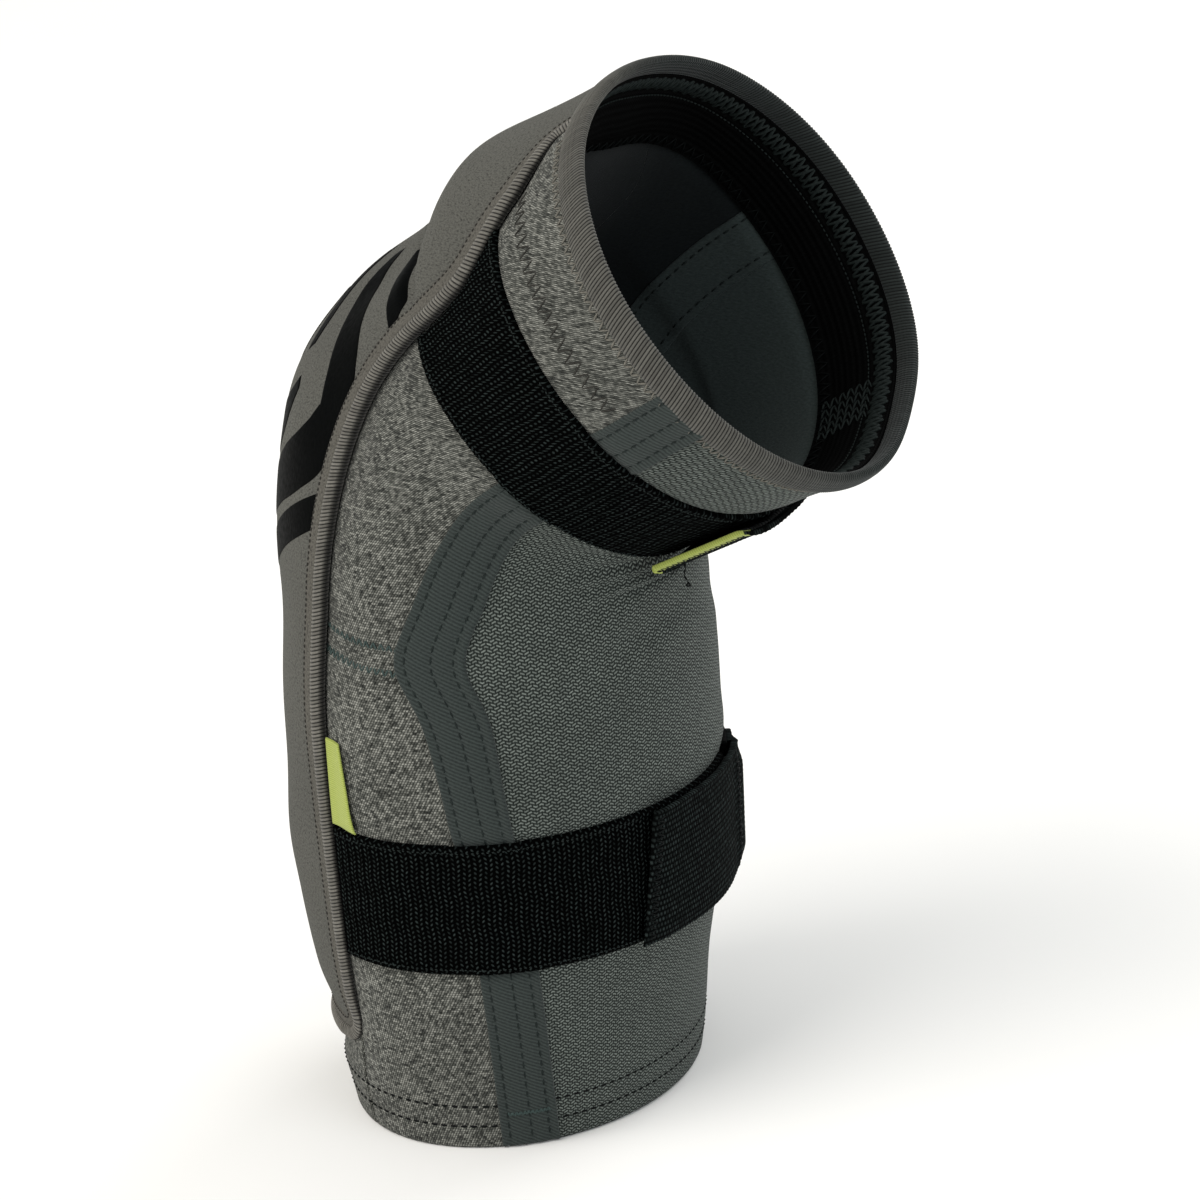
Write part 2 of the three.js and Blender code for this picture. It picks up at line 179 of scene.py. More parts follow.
class SleeveForm:
    """The guard's shape, in the sizes that the CAD part was driven by."""

    forearm = 123.0
    upper_arm = 50.6
    bend_radius = 54.4
    bend_angle = 56.8
    hem = Girth(36.5, 37.8, 46.6)
    lower = Girth(46.9, 46.9, 52.1)
    below_elbow = Girth(47.2, 47.2, 54.2)
    elbow = Girth(48.5, 43.7, 46.9)
    upper_strap = Girth(48.2, 48.2, 53.5)
    cuff = Girth(46.2, 54.5, 55.6)
    lower_run = 50.0
    below_elbow_drop = 28.0
    upper_strap_drop = 32.0
    hem_depth = 11.0
    rim_depth = 5.3
    pad_bottom = 22.0
    pad_corner = 6.0
    pinch = 0.9
    strap_swell = 0.35
    strap_runs = ((44.0, 74.5), (173.6, 201.1))
    cuff_comes_out = 0.85
    cuff_flares = (Bell(1.3, 262.0, 40.0), Bell(-1.8, 206.0, 20.0))
    crook_folds = (Bell(2.4, 139.0, 14.0),)
    hem_hollow = 2.6
    ripple = 0.38
    ripple_pitch = 13.5
    ripple_phase = 0.8
    ripple_sag = 0.006

    def __init__(self) -> None:
        """Draws the sleeve's curves, and finds where its centreline stands in the row's frame."""
        arc = self.bend_radius * math.radians(self.bend_angle)
        self.bend_end = self.forearm + arc
        self.length = self.bend_end + self.upper_arm
        self.panel_end = self.length - self.rim_depth
        stations = [
            (0.0, self.hem),
            (self.lower_run, self.lower),
            (self.forearm - self.below_elbow_drop, self.below_elbow),
            (self.forearm + arc / 2, self.elbow),
            (self.length - self.upper_strap_drop, self.upper_strap),
            (self.length, self.cuff),
        ]
        self.reach_elbow = Curve([(run, girth.elbow) for run, girth in stations])
        self.reach_crook = Curve([(run, girth.crook) for run, girth in stations])
        self.reach_side = Curve([(run, girth.side) for run, girth in stations])
        self.pad_edge = Curve([
            (0, 65.5),
            (self.forearm, 66.5),
            (self.forearm + arc * 0.75, 59.5),
            (self.bend_end + self.upper_arm * 0.2, 56.5),
            (self.bend_end + self.upper_arm * 0.55, 43),
            (self.bend_end + self.upper_arm * 0.82, 30),
            (self.length, 29),
        ])
        self.pad_depth = Curve([
            (self.hem_depth, 0),
            (self.pad_bottom + 2, 6.5),
            (self.lower_run, 9),
            (self.forearm, 14),
            (self.bend_end, 14),
            (self.length - self.upper_strap_drop, 10),
            (self.length, 4.5),
        ])
        self.tape_middle = Curve([
            (0, 118),
            (self.lower_run, 115),
            (self.forearm - self.below_elbow_drop, 109),
            (self.forearm - 6, 106),
            (self.forearm + arc / 2, 110.5),
            (self.bend_end, 112.5),
            (self.length, 113),
        ])
        # On the plain side the cut of the upper arm is turned further forward.
        self.tape_twist = Curve([(0, 0), (115, 0), (150, 15), (195, 25), (self.length, 25)])
        # The hem's rest mount is on the middle of the hem's cloth, in the crook.
        hem_rest = frame["record"]["mounts"][0]["pos_m"][0] / MM
        self.offset = hem_rest - (self.hem.crook - 0.7)

    def outline(self, run: Array, angle: Array) -> Array:
        """The outside radius: half an ellipse over the elbow and half an ellipse over the crook."""
        c, s = np.cos(np.radians(angle)), np.sin(np.radians(angle))
        depth = np.where(c > 0, self.reach_elbow(run), self.reach_crook(run))
        return 1.0 / np.hypot(c / depth, s / self.reach_side(run))

    def sleeve(self, run: Array, angle: Array) -> Array:
        """The knitted sleeve's radius: the outline, drawn in where the pad lies on it."""
        edge = self.pad_edge(run)
        fade = 1.0 - smooth(turn(angle), edge * 0.4, edge + 22.0)
        return self.outline(run, angle) - self.pad_depth(run) * fade

    def skin(self, run: Array, angle: Array) -> Array:
        """The worn face of the cloth: the sleeve, pinched in by the straps, with slack in the crook.

        The pinch is a soft-edged groove under each strap. The slack is a few shallow waves across the
        crook, where the bend takes up cloth, and a hollow in the crook below the lower strap. At the
        cuff the cloth comes out to the outline, because the pad thins away there.
        """
        run, angle = np.broadcast_arrays(np.asarray(run, float), np.asarray(angle, float))
        radius = self.sleeve(run, angle)
        thins = smooth(run, 207.0, 220.0) * self.cuff_comes_out
        radius = radius + (self.outline(run, angle) - radius) * thins
        radius = radius + rises(self.cuff_flares, np.mod(angle, 360.0)) * smooth(run, 196.0, 222.0)
        slack = smooth(turn(angle), 105.0, 165.0) * smooth(run, 3.0, 28.0) * (1.0 - smooth(run, 39.0, 47.0))
        radius = radius - self.hem_hollow * slack
        off_pad = smooth(turn(angle), self.pad_edge(run) + 3.0, self.pad_edge(run) + 16.0)
        for low, high in self.strap_runs:
            radius = radius - self.pinch * off_pad * window(run, low + 2.0, high - 2.0, 4.5)
            swell = bump(run, low - 5.0, 4.0) + bump(run, high + 5.0, 4.0)
            radius = radius + self.strap_swell * off_pad * swell
        crook = smooth(turn(angle), 120.0, 165.0)
        bend = window(run, 112.0, 165.0, 16.0)
        sag = self.ripple_sag * (turn(angle) - 180.0) ** 2
        ripple = np.sin((run + sag) * 2 * np.pi / self.ripple_pitch + self.ripple_phase)
        radius = radius + crook * rises(self.crook_folds, run)
        return radius + self.ripple * crook * bend * ripple

    def place(self, run: Array, angle: Array, radius: Array) -> Array:
        """Points in the row frame, in metres.

        The centreline is straight up the forearm, then one arc towards +X, then straight. A point
        lies at its radius from there, in the plane square to the centreline.

        Args:
            run: how far along the centreline.
            angle: degrees round it.
            radius: the distance from it.

        Returns:
            An array with the inputs' shape and a last axis of three.
        """
        run, angle, radius = np.broadcast_arrays(run, angle, radius)
        bend = np.clip((run - self.forearm) / self.bend_radius, 0.0, math.radians(self.bend_angle))
        past = np.maximum(run - self.bend_end, 0.0)
        to_elbow = radius * np.cos(np.radians(angle))
        to_label = radius * np.sin(np.radians(angle))
        x = self.bend_radius * (1 - np.cos(bend)) + past * np.sin(bend) - to_elbow * np.cos(bend)
        z = np.minimum(run, self.forearm) + self.bend_radius * np.sin(bend)
        z = z + past * np.cos(bend) + to_elbow * np.sin(bend)
        return np.stack([x + self.offset, -to_label, z], axis=-1) * MM

    def woven(self, run: Array, angle: Array) -> Array:
        """The cloth's own length up to a run: longer outside the bend than inside it."""
        bend = np.clip(run - self.forearm, 0.0, self.bend_end - self.forearm)
        return run + bend * self.outline(run, angle) * np.cos(np.radians(angle)) / self.bend_radius

    def tape(self, run: Array, side: float) -> Array:
        """The signed angle of a seam tape's middle: the label side's for 1, the plain side's for -1."""
        line = self.tape_middle(run) - 4.2 * bump(run, 115.0, 8.5)
        return line if side > 0 else self.tape_twist(run) - line

    def from_tape(self, run: Array, angle: Array) -> Array:
        """The distance in millimetres from the nearer tape's middle, positive towards the crook."""
        signed = np.mod(angle + 180.0, 360.0) - 180.0
        off = np.where(signed > 0, signed - self.tape(run, 1.0), self.tape(run, -1.0) - signed)
        return np.radians(off) * self.sleeve(run, angle)

    def degrees(self, width: Union[float, Array], run: Array, angle: Union[float, Array]) -> Array:
        """How many degrees a width in millimetres takes at a place on the sleeve."""
        return np.degrees(width / self.sleeve(np.asarray(run, float), np.asarray(angle, float)))

    def pad_half(self, run: Array) -> Array:
        """Half the pad's width in degrees, with its two lower corners rounded as quarter circles."""
        edge = self.pad_edge(run)
        up = np.clip((self.pad_bottom + self.pad_corner - run) / self.pad_corner, 0.0, 1.0)
        cut = self.pad_corner * (1.0 - np.sqrt(1.0 - up * up))
        return edge - self.degrees(cut, run, PAD_EDGE_AT)

    def normals(self, surface: Surface, run: Array, angle: Array) -> tuple[Array, Array, Array]:
        """Points on a surface, the direction along the sleeve there, and the way out of the cloth.

        Args:
            surface: the radius as a function of run and angle.
            run: the points' runs.
            angle: the points' angles.

        Returns:
            The points, the unit tangents along the run, and the unit normals.
        """
        small = 0.2
        points = self.place(run, angle, surface(run, angle))
        along = self.place(run + small, angle, surface(run + small, angle)) - points
        round_it = self.place(run, angle + small, surface(run, angle + small)) - points
        normal = np.cross(along, round_it)
        normal /= np.linalg.norm(normal, axis=-1, keepdims=True)
        outward = self.place(run, angle, surface(run, angle) + 1.0) - points
        normal *= np.sign((normal * outward).sum(-1, keepdims=True))
        return points, along / np.linalg.norm(along, axis=-1, keepdims=True), normal


FORM = SleeveForm()


class Side(Enum):
    """The two sides of the guard: the label is on one of them."""

    LABEL = 1
    PLAIN = -1

    @property
    def where(self) -> str:
        """The side's part of a piece's name."""
        return f"{self.name.lower()}_side"


# ---------------------------------------------------------------------------------------------
# Meshes
# ---------------------------------------------------------------------------------------------


def signed_volume(points: Array, faces: Array) -> float:
    """The volume inside closed faces: positive when they point outwards (the divergence theorem)."""
    total = 0.0
    for k in range(1, faces.shape[1] - 1):
        a, b, c = points[faces[:, 0]], points[faces[:, k]], points[faces[:, k + 1]]
        total += float((a * np.cross(b, c)).sum()) / 6.0
    return total


def new_piece(
    name: str,
    points: Array,
    faces: Array,
    finishes: Sequence[Material],
    uv: Optional[Array] = None,
    finish_of: Optional[Array] = None,
) -> Piece:
    """Puts points and faces into a new mesh object, smooth shaded, with its faces pointing out.

    Args:
        name: the piece's name.
        points: the vertices in metres, (n, 3).
        faces: the faces' vertex numbers, (m, 3) or (m, 4), which close a solid.
        finishes: the materials.
        uv: the WEAVE coordinates of each face corner, (m, 3 or 4, 2).
        finish_of: the material's number for each face.

    Returns:
        The object, in the scene.
    """
    if signed_volume(points, faces) < 0:
        faces = faces[:, ::-1]
        uv = None if uv is None else uv[:, ::-1]
    mesh = bpy.data.meshes.new(name)
    mesh.from_pydata(points.tolist(), [], faces.tolist())
    mesh.polygons.foreach_set("use_smooth", np.ones(len(faces), bool))
    if uv is not None:
        layer = mesh.uv_layers.new(name=WEAVE)
        layer.data.foreach_set("uv", uv.reshape(-1).astype(np.float32))
    if finish_of is not None:
        mesh.polygons.foreach_set("material_index", finish_of.astype(np.int32))
    for material in finishes:
        mesh.materials.append(material)
    mesh.update()
    piece = bpy.data.objects.new(name, mesh)
    bpy.context.scene.collection.objects.link(piece)
    return piece


def closed_sheet(
    name: str,
    outer: Array,
    inner: Array,
    uv: Array,
    finishes: Sequence[Material],
    ring: bool = False,
) -> Piece:
    """A sheet with a thickness: an outer grid and an inner grid, joined by walls round their edges.

    Args:
        name: the piece's name.
        outer: the outer face's points, (rows, columns, 3).
        inner: the inner face's points, of the same shape.
        uv: millimetres across and along at each point, (rows, columns, 2), or one column more for a ring.
        finishes: the outer face's material, then the inner face's if it differs.
        ring: whether the last column joins the first.

    Returns:
        The object.
    """
    rows, columns = outer.shape[:2]
    number = np.arange(rows * columns).reshape(rows, columns)
    if ring:
        number = np.concatenate([number, number[:, :1]], axis=1)
    wide = number.shape[1]
    corner = np.arange(rows * wide).reshape(rows, wide)
    a, b, c, d = corner[:-1, :-1], corner[:-1, 1:], corner[1:, 1:], corner[1:, :-1]
    outside = np.stack([a, b, c, d], axis=-1).reshape(-1, 4)
    shift = rows * wide
    inside = outside[:, ::-1] + shift
    edges = [(corner[0], 1), (corner[-1], -1)]
    if not ring:
        edges += [(corner[:, 0], -1), (corner[:, -1], 1)]
    walls = []
    for edge, way in edges:
        wall = np.stack([edge[1:], edge[:-1], edge[:-1] + shift, edge[1:] + shift], axis=-1)
        walls.append(wall if way > 0 else wall[:, ::-1])
    corners = np.concatenate([outside, inside, *walls])
    vertex = np.concatenate([number.reshape(-1), number.reshape(-1) + rows * columns])
    places = np.concatenate([uv.reshape(-1, 2), uv.reshape(-1, 2)])
    points = np.concatenate([outer.reshape(-1, 3), inner.reshape(-1, 3)])
    finish_of = np.zeros(len(corners), int)
    if len(finishes) > 1:
        finish_of[len(outside):2 * len(outside)] = 1
    return new_piece(name, points, vertex[corners], finishes, places[corners], finish_of)


def swept_tube(
    name: str, rings: Array, uv: Array, finishes: Sequence[Material], ring: bool = False
) -> Piece:
    """A closed tube through rings of points, capped at both ends unless the path closes on itself.

    Args:
        name: the piece's name.
        rings: the section's points at each step of the path, (steps, around, 3).
        uv: the WEAVE coordinates, (steps, around + 1, 2), or (steps + 1, around + 1, 2) for a ring.
        finishes: the materials.
        ring: whether the last section joins the first.

    Returns:
        The object.
    """
    steps, around = rings.shape[:2]
    number = np.arange(steps * around).reshape(steps, around)
    number = np.concatenate([number, number[:, :1]], axis=1)
    points = rings.reshape(-1, 3)
    if ring:
        number = np.concatenate([number, number[:1]], axis=0)
    else:
        middles = np.stack([rings[0].mean(0), rings[-1].mean(0)])
        points = np.concatenate([points, middles])
    places = np.arange(number.size).reshape(number.shape)
    a, b, c, d = places[:-1, :-1], places[:-1, 1:], places[1:, 1:], places[1:, :-1]
    corners = np.stack([a, b, c, d], axis=-1).reshape(-1, 4)
    faces = number.reshape(-1)[corners]
    face_uv = uv.reshape(-1, 2)[corners]
    if not ring:
        first, last = steps * around, steps * around + 1
        for middle, row, way in ((first, 0, 1), (last, -1, -1)):
            low, high = number[row, :-1:2], number[row, 1::2]
            after = np.roll(low, -1)
            cap = np.stack([np.full_like(low, middle), after, high, low], axis=-1)
            faces = np.concatenate([faces, cap if way > 0 else cap[:, ::-1]])
            cap_uv = np.broadcast_to(uv[row, 0], (len(cap), 4, 2))
            face_uv = np.concatenate([face_uv, cap_uv])
    return new_piece(name, points, faces, finishes, face_uv)


def threads(
    name: str,
    starts: Array,
    ends: Array,
    normals: Array,
    width: float,
    height: float,
    finish: Material,
) -> Piece:
    """Many short threads as one piece: each a plump strand from its start to its end.

    One strand is a ball stretched along its length: three rings of five points and two tips, whose
    width follows the square root of the sine of the way along it, and whose ends dip into the cloth.

    Args:
        name: the piece's name.
        starts: where each begins, in metres, (n, 3).
        ends: where each ends, (n, 3).
        normals: the way out of the cloth at each, (n, 3).
        width: a strand's width in millimetres.
        height: how far it stands out, in millimetres.
        finish: the thread's material.

    Returns:
        The object.
    """
    around, levels = 5, np.array([0.12, 0.5, 0.88])
    dip, sink = -0.6, 0.35  # how deep the tips and the middle lie in the cloth, in heights
    phase = np.arange(around) * 2 * np.pi / around
    full = np.sqrt(np.sin(np.pi * levels))
    along = np.concatenate([[0.0], np.repeat(levels, around), [1.0]])
    across = np.concatenate([[0.0], np.outer(full, np.cos(phase)).ravel(), [0.0]]) * width / 2 * MM
    plump = np.outer(full, np.sin(phase)).ravel() * 0.5 + np.repeat(full, around) * 0.5
    rise = np.concatenate([[dip], plump - sink, [dip]]) * height * MM
    faces = []
    for k in range(around):
        n = (k + 1) % around
        faces.append([0, 1 + n, 1 + k, 1 + k])
        for level in range(len(levels) - 1):
            base = 1 + level * around
            faces.append([base + k, base + n, base + around + n, base + around + k])
        base = 1 + (len(levels) - 1) * around
        faces.append([base + k, base + n, 1 + len(levels) * around, 1 + len(levels) * around])
    template = np.array(faces)
    way = ends - starts
    side = np.cross(normals, way)
    side /= np.linalg.norm(side, axis=-1, keepdims=True)
    points = (
        starts[:, None]
        + way[:, None] * along[None, :, None]
        + side[:, None] * across[None, :, None]
        + normals[:, None] * rise[None, :, None]
    )
    count, size = points.shape[:2]
    every = (template[None] + (np.arange(count) * size)[:, None, None]).reshape(-1, 4)
    flat = points.reshape(-1, 3)
    if signed_volume(flat, every) < 0:
        every = every[:, ::-1]
    tips = (every[:, 0] == every[:, 1]) | (every[:, 2] == every[:, 3]) | (every[:, 1] == every[:, 2])
    tips |= every[:, 3] == every[:, 0]
    quads = every[~tips].tolist()
    triangles = [list(dict.fromkeys(face)) for face in every[tips].tolist()]
    mesh = bpy.data.meshes.new(name)
    mesh.from_pydata(flat.tolist(), [], quads + triangles)
    mesh.polygons.foreach_set("use_smooth", np.ones(len(quads) + len(triangles), bool))
    mesh.materials.append(finish)
    piece = bpy.data.objects.new(name, mesh)
    bpy.context.scene.collection.objects.link(piece)
    return piece


def evenly(surface: Surface, run: Array, angle: Array, pitch: float) -> tuple[Array, Array]:
    """Steps of one length along a line on a surface.

    Args:
        surface: the radius that the line lies at.
        run: the line's runs, finely spaced.
        angle: the line's angles.
        pitch: the length of a step in millimetres.

    Returns:
        The steps' runs and angles.
    """
    points = FORM.place(run, angle, surface(run, angle))
    length = np.concatenate([[0.0], np.cumsum(np.linalg.norm(np.diff(points, axis=0), axis=1))]) / MM
    count = max(1, int(round(length[-1] / pitch)))
    at = np.linspace(0.0, length[-1], count + 1)
    return np.interp(at, length, run), np.interp(at, length, angle)


@dataclass(frozen=True)
class Seam:
    """How a row of stitches looks, in millimetres."""

    pitch: float = 2.6
    share: float = 0.78
    width: float = 0.55
    height: float = 0.42

    def running(self, surface: Surface, run: Array, angle: Array) -> Row:
        """A straight row: each stitch covers its share of a step of the line.

        Args:
            surface: the radius that it lies at.
            run: the line's runs.
            angle: the line's angles.

        Returns:
            The stitches' starts, ends and normals.
        """
        runs, angles = evenly(surface, run, angle, self.pitch)
        points, _, normals = FORM.normals(surface, runs, angles)
        start, step = points[:-1], np.diff(points, axis=0)
        gap = (1.0 - self.share) / 2
        return start + step * gap, start + step * (1 - gap), (normals[:-1] + normals[1:]) / 2

    def zigzag(self, surface: Surface, run: Array, angle: Array, reach: float) -> Row:
        """A zigzag row: stitches join points that lie in turn either side of the line.

        Args:
            surface: the radius that it lies at.
            run: the line's runs.
            angle: the line's angles.
            reach: how far each side of the line it goes.

        Returns:
            The stitches' starts, ends and normals.
        """
        runs, angles = evenly(surface, run, angle, self.pitch / 2)
        points, _, normals = FORM.normals(surface, runs, angles)
        across = np.cross(normals, np.gradient(points, axis=0))
        across /= np.linalg.norm(across, axis=1, keepdims=True)
        sign = np.where(np.arange(len(points)) % 2 == 0, 1.0, -1.0)[:, None]
        turns = points + across * sign * reach * MM
        return turns[:-1], turns[1:], (normals[:-1] + normals[1:]) / 2


def turned_in(row: Row) -> Row:
    """A row of stitches as it stands out on the inner face of the cloth."""
    starts, ends, normals = row
    return starts, ends, -normals


@dataclass
class Patch:
    """A stretch of cloth that lies on the sleeve, between two runs and two lines along them."""

    name: str
    low: float
    high: float
    start: Line
    end: Line
    top: Surface
    thickness: float
    step: float = 1.6
    edge: float = 1.0
    relief: Optional[Surface] = None
    floor: Optional[Surface] = None
    inside: bool = False

    def build(self, finishes: Sequence[Material]) -> Piece:
        """Makes the cloth: rows along the run, columns from start to end, its edges rounded over.

        The outer face is top, lowered at the edges by a quarter circle of the edge's radius, plus the
        relief. The inner face is top less the thickness, or the floor.

        Args:
            finishes: the outer and the inner face's materials.

        Returns:
            The piece.
        """
        runs = spread(self.low, self.high, self.step, self.edge)
        middle = np.array([(self.low + self.high) / 2])
        width = float(np.max(np.radians(self.end(middle) - self.start(middle)) * UV_RADIUS))
        share = spread(0.0, width, self.step, self.edge) / width
        run = np.repeat(runs[:, None], len(share), axis=1)
        start, end = self.start(runs)[:, None], self.end(runs)[:, None]
        angle = start + (end - start) * share[None]
        u = np.radians(angle) * UV_RADIUS
        from_side = np.minimum(share, 1 - share)[None] * np.radians(end - start) * UV_RADIUS
        from_end = np.minimum(run - self.low, self.high - run)
        near = np.clip(np.minimum(from_side, from_end) / self.edge, 0.0, 1.0)
        full = np.sqrt(1.0 - (1.0 - near) ** 2)
        thick = THIN_EDGE + (1.0 - THIN_EDGE) * full
        top = self.top(run, angle)
        under = top - self.thickness if self.floor is None else self.floor(run, angle)
        relief = 0.0 if self.relief is None else self.relief(u, run) * full
        face = under + (top - under) * thick + relief
        uv = np.stack([u, FORM.woven(run, angle)], axis=-1)
        outer, inner = FORM.place(run, angle, face), FORM.place(run, angle, under)
        if self.inside:
            back = top - (top - under) * thick
            outer, inner = FORM.place(run, angle, top), FORM.place(run, angle, back)
        return closed_sheet(self.name, outer, inner, uv, finishes)


# ---------------------------------------------------------------------------------------------
# Riding on the bodies
# ---------------------------------------------------------------------------------------------


class Body(Enum):
    """The CAD bodies, and the cloth that bends between the first two."""

    FOREARM = "forearm"
    UPPER_ARM = "upper_arm"
    LOWER_TAB = "lower_tab"
    UPPER_TAB = "upper_tab"
    BENDS = "bends"


def settle(
    piece: Piece, body: Body, replaces: Sequence[str] = ()
) -> Piece:
    """Makes a finished piece move with its body, and stand for its CAD nodes.

    Args:
        piece: the finished piece.
        body: what it moves with.
        replaces: the CAD nodes that it stands for.

    Returns:
        The piece.
    """
    if body is Body.BENDS:
        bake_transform(piece)
    else:
        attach(piece, body.value)
    if replaces:
        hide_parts(*replaces)
    LOG.info("%s: %d faces, %s", piece.name, len(piece.data.polygons), body.value)
    return piece


def sew(
    name: str, rows: Sequence[Row], seam: Seam, finish: Material, body: Body
) -> None:
    """Makes all the stitches of several rows as one piece, and settles it.

    Args:
        name: the piece's name.
        rows: the rows.
        seam: the stitches' sizes.
        finish: the thread's material.
        body: what the stitches move with.
    """
    starts, ends, normals = (np.concatenate([row[k] for row in rows]) for k in range(3))
    settle(threads(name, starts, ends, normals, seam.width, seam.height, finish), body)


# ---------------------------------------------------------------------------------------------
# Finishes
# ---------------------------------------------------------------------------------------------


def linear(colour: str) -> tuple[float, float, float, float]:
    """An sRGB hex colour as the linear RGBA that shaders take."""
    parts = np.array([int(colour[i:i + 2], 16) for i in (1, 3, 5)]) / 255.0
    low, high = parts / 12.92, ((parts + 0.055) / 1.055) ** 2.4
    return (*np.where(parts <= 0.04045, low, high).tolist(), 1.0)


MATH, MIX, NOISE = "ShaderNodeMath", "ShaderNodeMixRGB", "ShaderNodeTexNoise"
RANGE, CELL, PACK = "ShaderNodeMapRange", "ShaderNodeTexWhiteNoise", "ShaderNodeCombineXYZ"
VORONOI, SOLID = "ShaderNodeTexVoronoi", "ShaderNodeTexCoord"

Value = Union[Socket, float, tuple, None]


class Recipe:
    """A material's node tree, written one node at a time."""

    def __init__(self, name: str) -> None:
        """Starts a material that holds only its shader and its output."""
        self.material = bpy.data.materials.new(name)
        self.material.use_nodes = True
        self.tree = self.material.node_tree
        self.shader = self.tree.nodes["Principled BSDF"]

    def add(
        self, kind: str, *values: Value, out: Union[int, str] = 0, named: Optional[dict] = None,
        **settings: object,
    ) -> Socket:
        """Adds a node with its settings and links.

        Args:
            kind: the node's type.
            *values: its inputs in order: a socket to link, a number to set, or None to leave.
            out: the output that is wanted.
            named: further inputs by name.
            **settings: the node's own properties.

        Returns:
            The output socket.
        """
        made = self.tree.nodes.new(kind)
        for key, value in settings.items():
            setattr(made, key, value)
        for key, value in [*enumerate(values), *(named or {}).items()]:
            if isinstance(value, Socket):
                self.tree.links.new(value, made.inputs[key])
            elif value is not None:
                made.inputs[key].default_value = value
        return made.outputs[out]

    def cell(self, value: Value) -> tuple[Socket, Socket]:
        """The number of the cell that a value is in, and how far into it the value is, from 0 to 1."""
        number = self.add(MATH, value, operation="FLOOR")
        return number, self.add(MATH, value, operation="FRACT")

    def wave(self, value: Value, pitch: float) -> Socket:
        """A sine wave from -1 to 1, that repeats once every pitch."""
        phase = self.add(MATH, value, 2 * math.pi / pitch, operation="MULTIPLY")
        return self.add(MATH, phase, operation="SINE")

    def arch(self, part: Value) -> Socket:
        """Half a sine wave across a cell: a thread's round back."""
        phase = self.add(MATH, part, math.pi, operation="MULTIPLY")
        return self.add(MATH, phase, operation="SINE")

    def chance(self, column: Value, row: Value) -> Socket:
        """A random number from 0 to 1 for each cell, by its column and its row."""
        return self.add(CELL, self.add(PACK, column, row, 0.0), noise_dimensions="2D")

    def weave(self) -> tuple[Socket, Socket]:
        """The cloth's coordinates in millimetres: across it and along it."""
        place = self.add("ShaderNodeUVMap", uv_map=WEAVE)
        split = self.add("ShaderNodeSeparateXYZ", place)
        return split, split.node.outputs[1]

    def finish(
        self, colour: Value, roughness: Value, height: Optional[Socket] = None,
        depth: float = 0.2, sheen: float = 0.0, **sockets: float,
    ) -> Material:
        """Joins the colour, the roughness and the relief to the shader.

        Args:
            colour: the base colour.
            roughness: the roughness.
            height: the relief, from 0 to 1.
            depth: the relief's depth in millimetres.
            sheen: the shader's sheen weight, for a fuzzy cloth.
            **sockets: other constants of the shader, with _ for a space in the name.

        Returns:
            The material.
        """
        pairs = {"Base Color": colour, "Roughness": roughness}
        for key, value in pairs.items():
            if isinstance(value, Socket):
                self.tree.links.new(value, self.shader.inputs[key])
            else:
                self.shader.inputs[key].default_value = value
        self.shader.inputs["Sheen Weight"].default_value = sheen
        self.shader.inputs["Sheen Roughness"].default_value = 0.5
        self.shader.inputs["Specular IOR Level"].default_value = 0.06
        for key, value in sockets.items():
            self.shader.inputs[key.replace("_", " ")].default_value = value
        if height is not None:
            bent = self.add("ShaderNodeBump", named={"Height": height, "Distance": depth * MM})
            self.tree.links.new(bent, self.shader.inputs["Normal"])
        return self.material


@dataclass(frozen=True)
class HeatherKnit:
    """Melange polyester and elastane jersey, weft knitted, with a laminated back.

    The eye gets fine courses of slanted pale strokes, broken by short dark dashes where a darker yarn
    comes up, so that the cloth looks flecked, matt and slightly fuzzy.
    """

    dark: str = "#282a27"
    middle: str = "#4d4f4a"
    pale: str = "#8b8c85"
    wale_mm: float = 0.6  # real wales are about 0.5 mm, drawn coarser so that they show
    course_mm: float = 0.54

    def make(self) -> Material:
        """The material: slanted stroke cells on the weave, with a yarn colour that runs along each course."""
        r = Recipe("melange_polyester_jersey")
        u, v = r.weave()
        course = r.add(MATH, v, self.course_mm, operation="DIVIDE")
        number, part = r.cell(course)
        lean = r.add(MATH, u, self.wale_mm, operation="DIVIDE")
        lean = r.add(MATH, v, -0.8, lean, operation="MULTIPLY_ADD")
        column, inside = r.cell(lean)
        arch = r.arch(part)
        side = r.arch(inside)
        strand = r.add(MATH, r.add(MATH, arch, 0.5, operation="POWER"), side, operation="MULTIPLY")
        yarn_place = r.add(PACK, r.add(MATH, u, 0.9, operation="MULTIPLY"),
                           r.add(MATH, number, 7.3, operation="MULTIPLY"), 0.0)
        yarn = r.add(NOISE, yarn_place, None, 1.0, 1.0, 0.5)
        cell = r.chance(column, number)
        fleck = r.add(MATH, cell, 0.2, yarn, operation="MULTIPLY_ADD")
        fleck = r.add(RANGE, fleck, 0.34, 0.78, 0.0, 1.0)
        cloud = r.add(NOISE, r.add(SOLID, out="Object"), None, 38.0, 2.0, 0.5)
        low = r.add(MIX, r.add(RANGE, fleck, 0.0, 0.4, 0.0, 1.0), linear(self.dark), linear(self.middle))
        full = r.add(MIX, r.add(RANGE, fleck, 0.4, 1.0, 0.0, 1.0), low, linear(self.pale))
        shade = r.add(RANGE, strand, 0.0, 0.9, 0.15, 1.22)
        shade = r.add(MATH, shade, r.add(RANGE, cloud, 0.3, 0.7, 0.9, 1.1), operation="MULTIPLY")
        colour = r.add(MIX, 1.0, full, shade, blend_type="MULTIPLY")
        return r.finish(colour, 0.92, strand, 0.2, sheen=0.1)


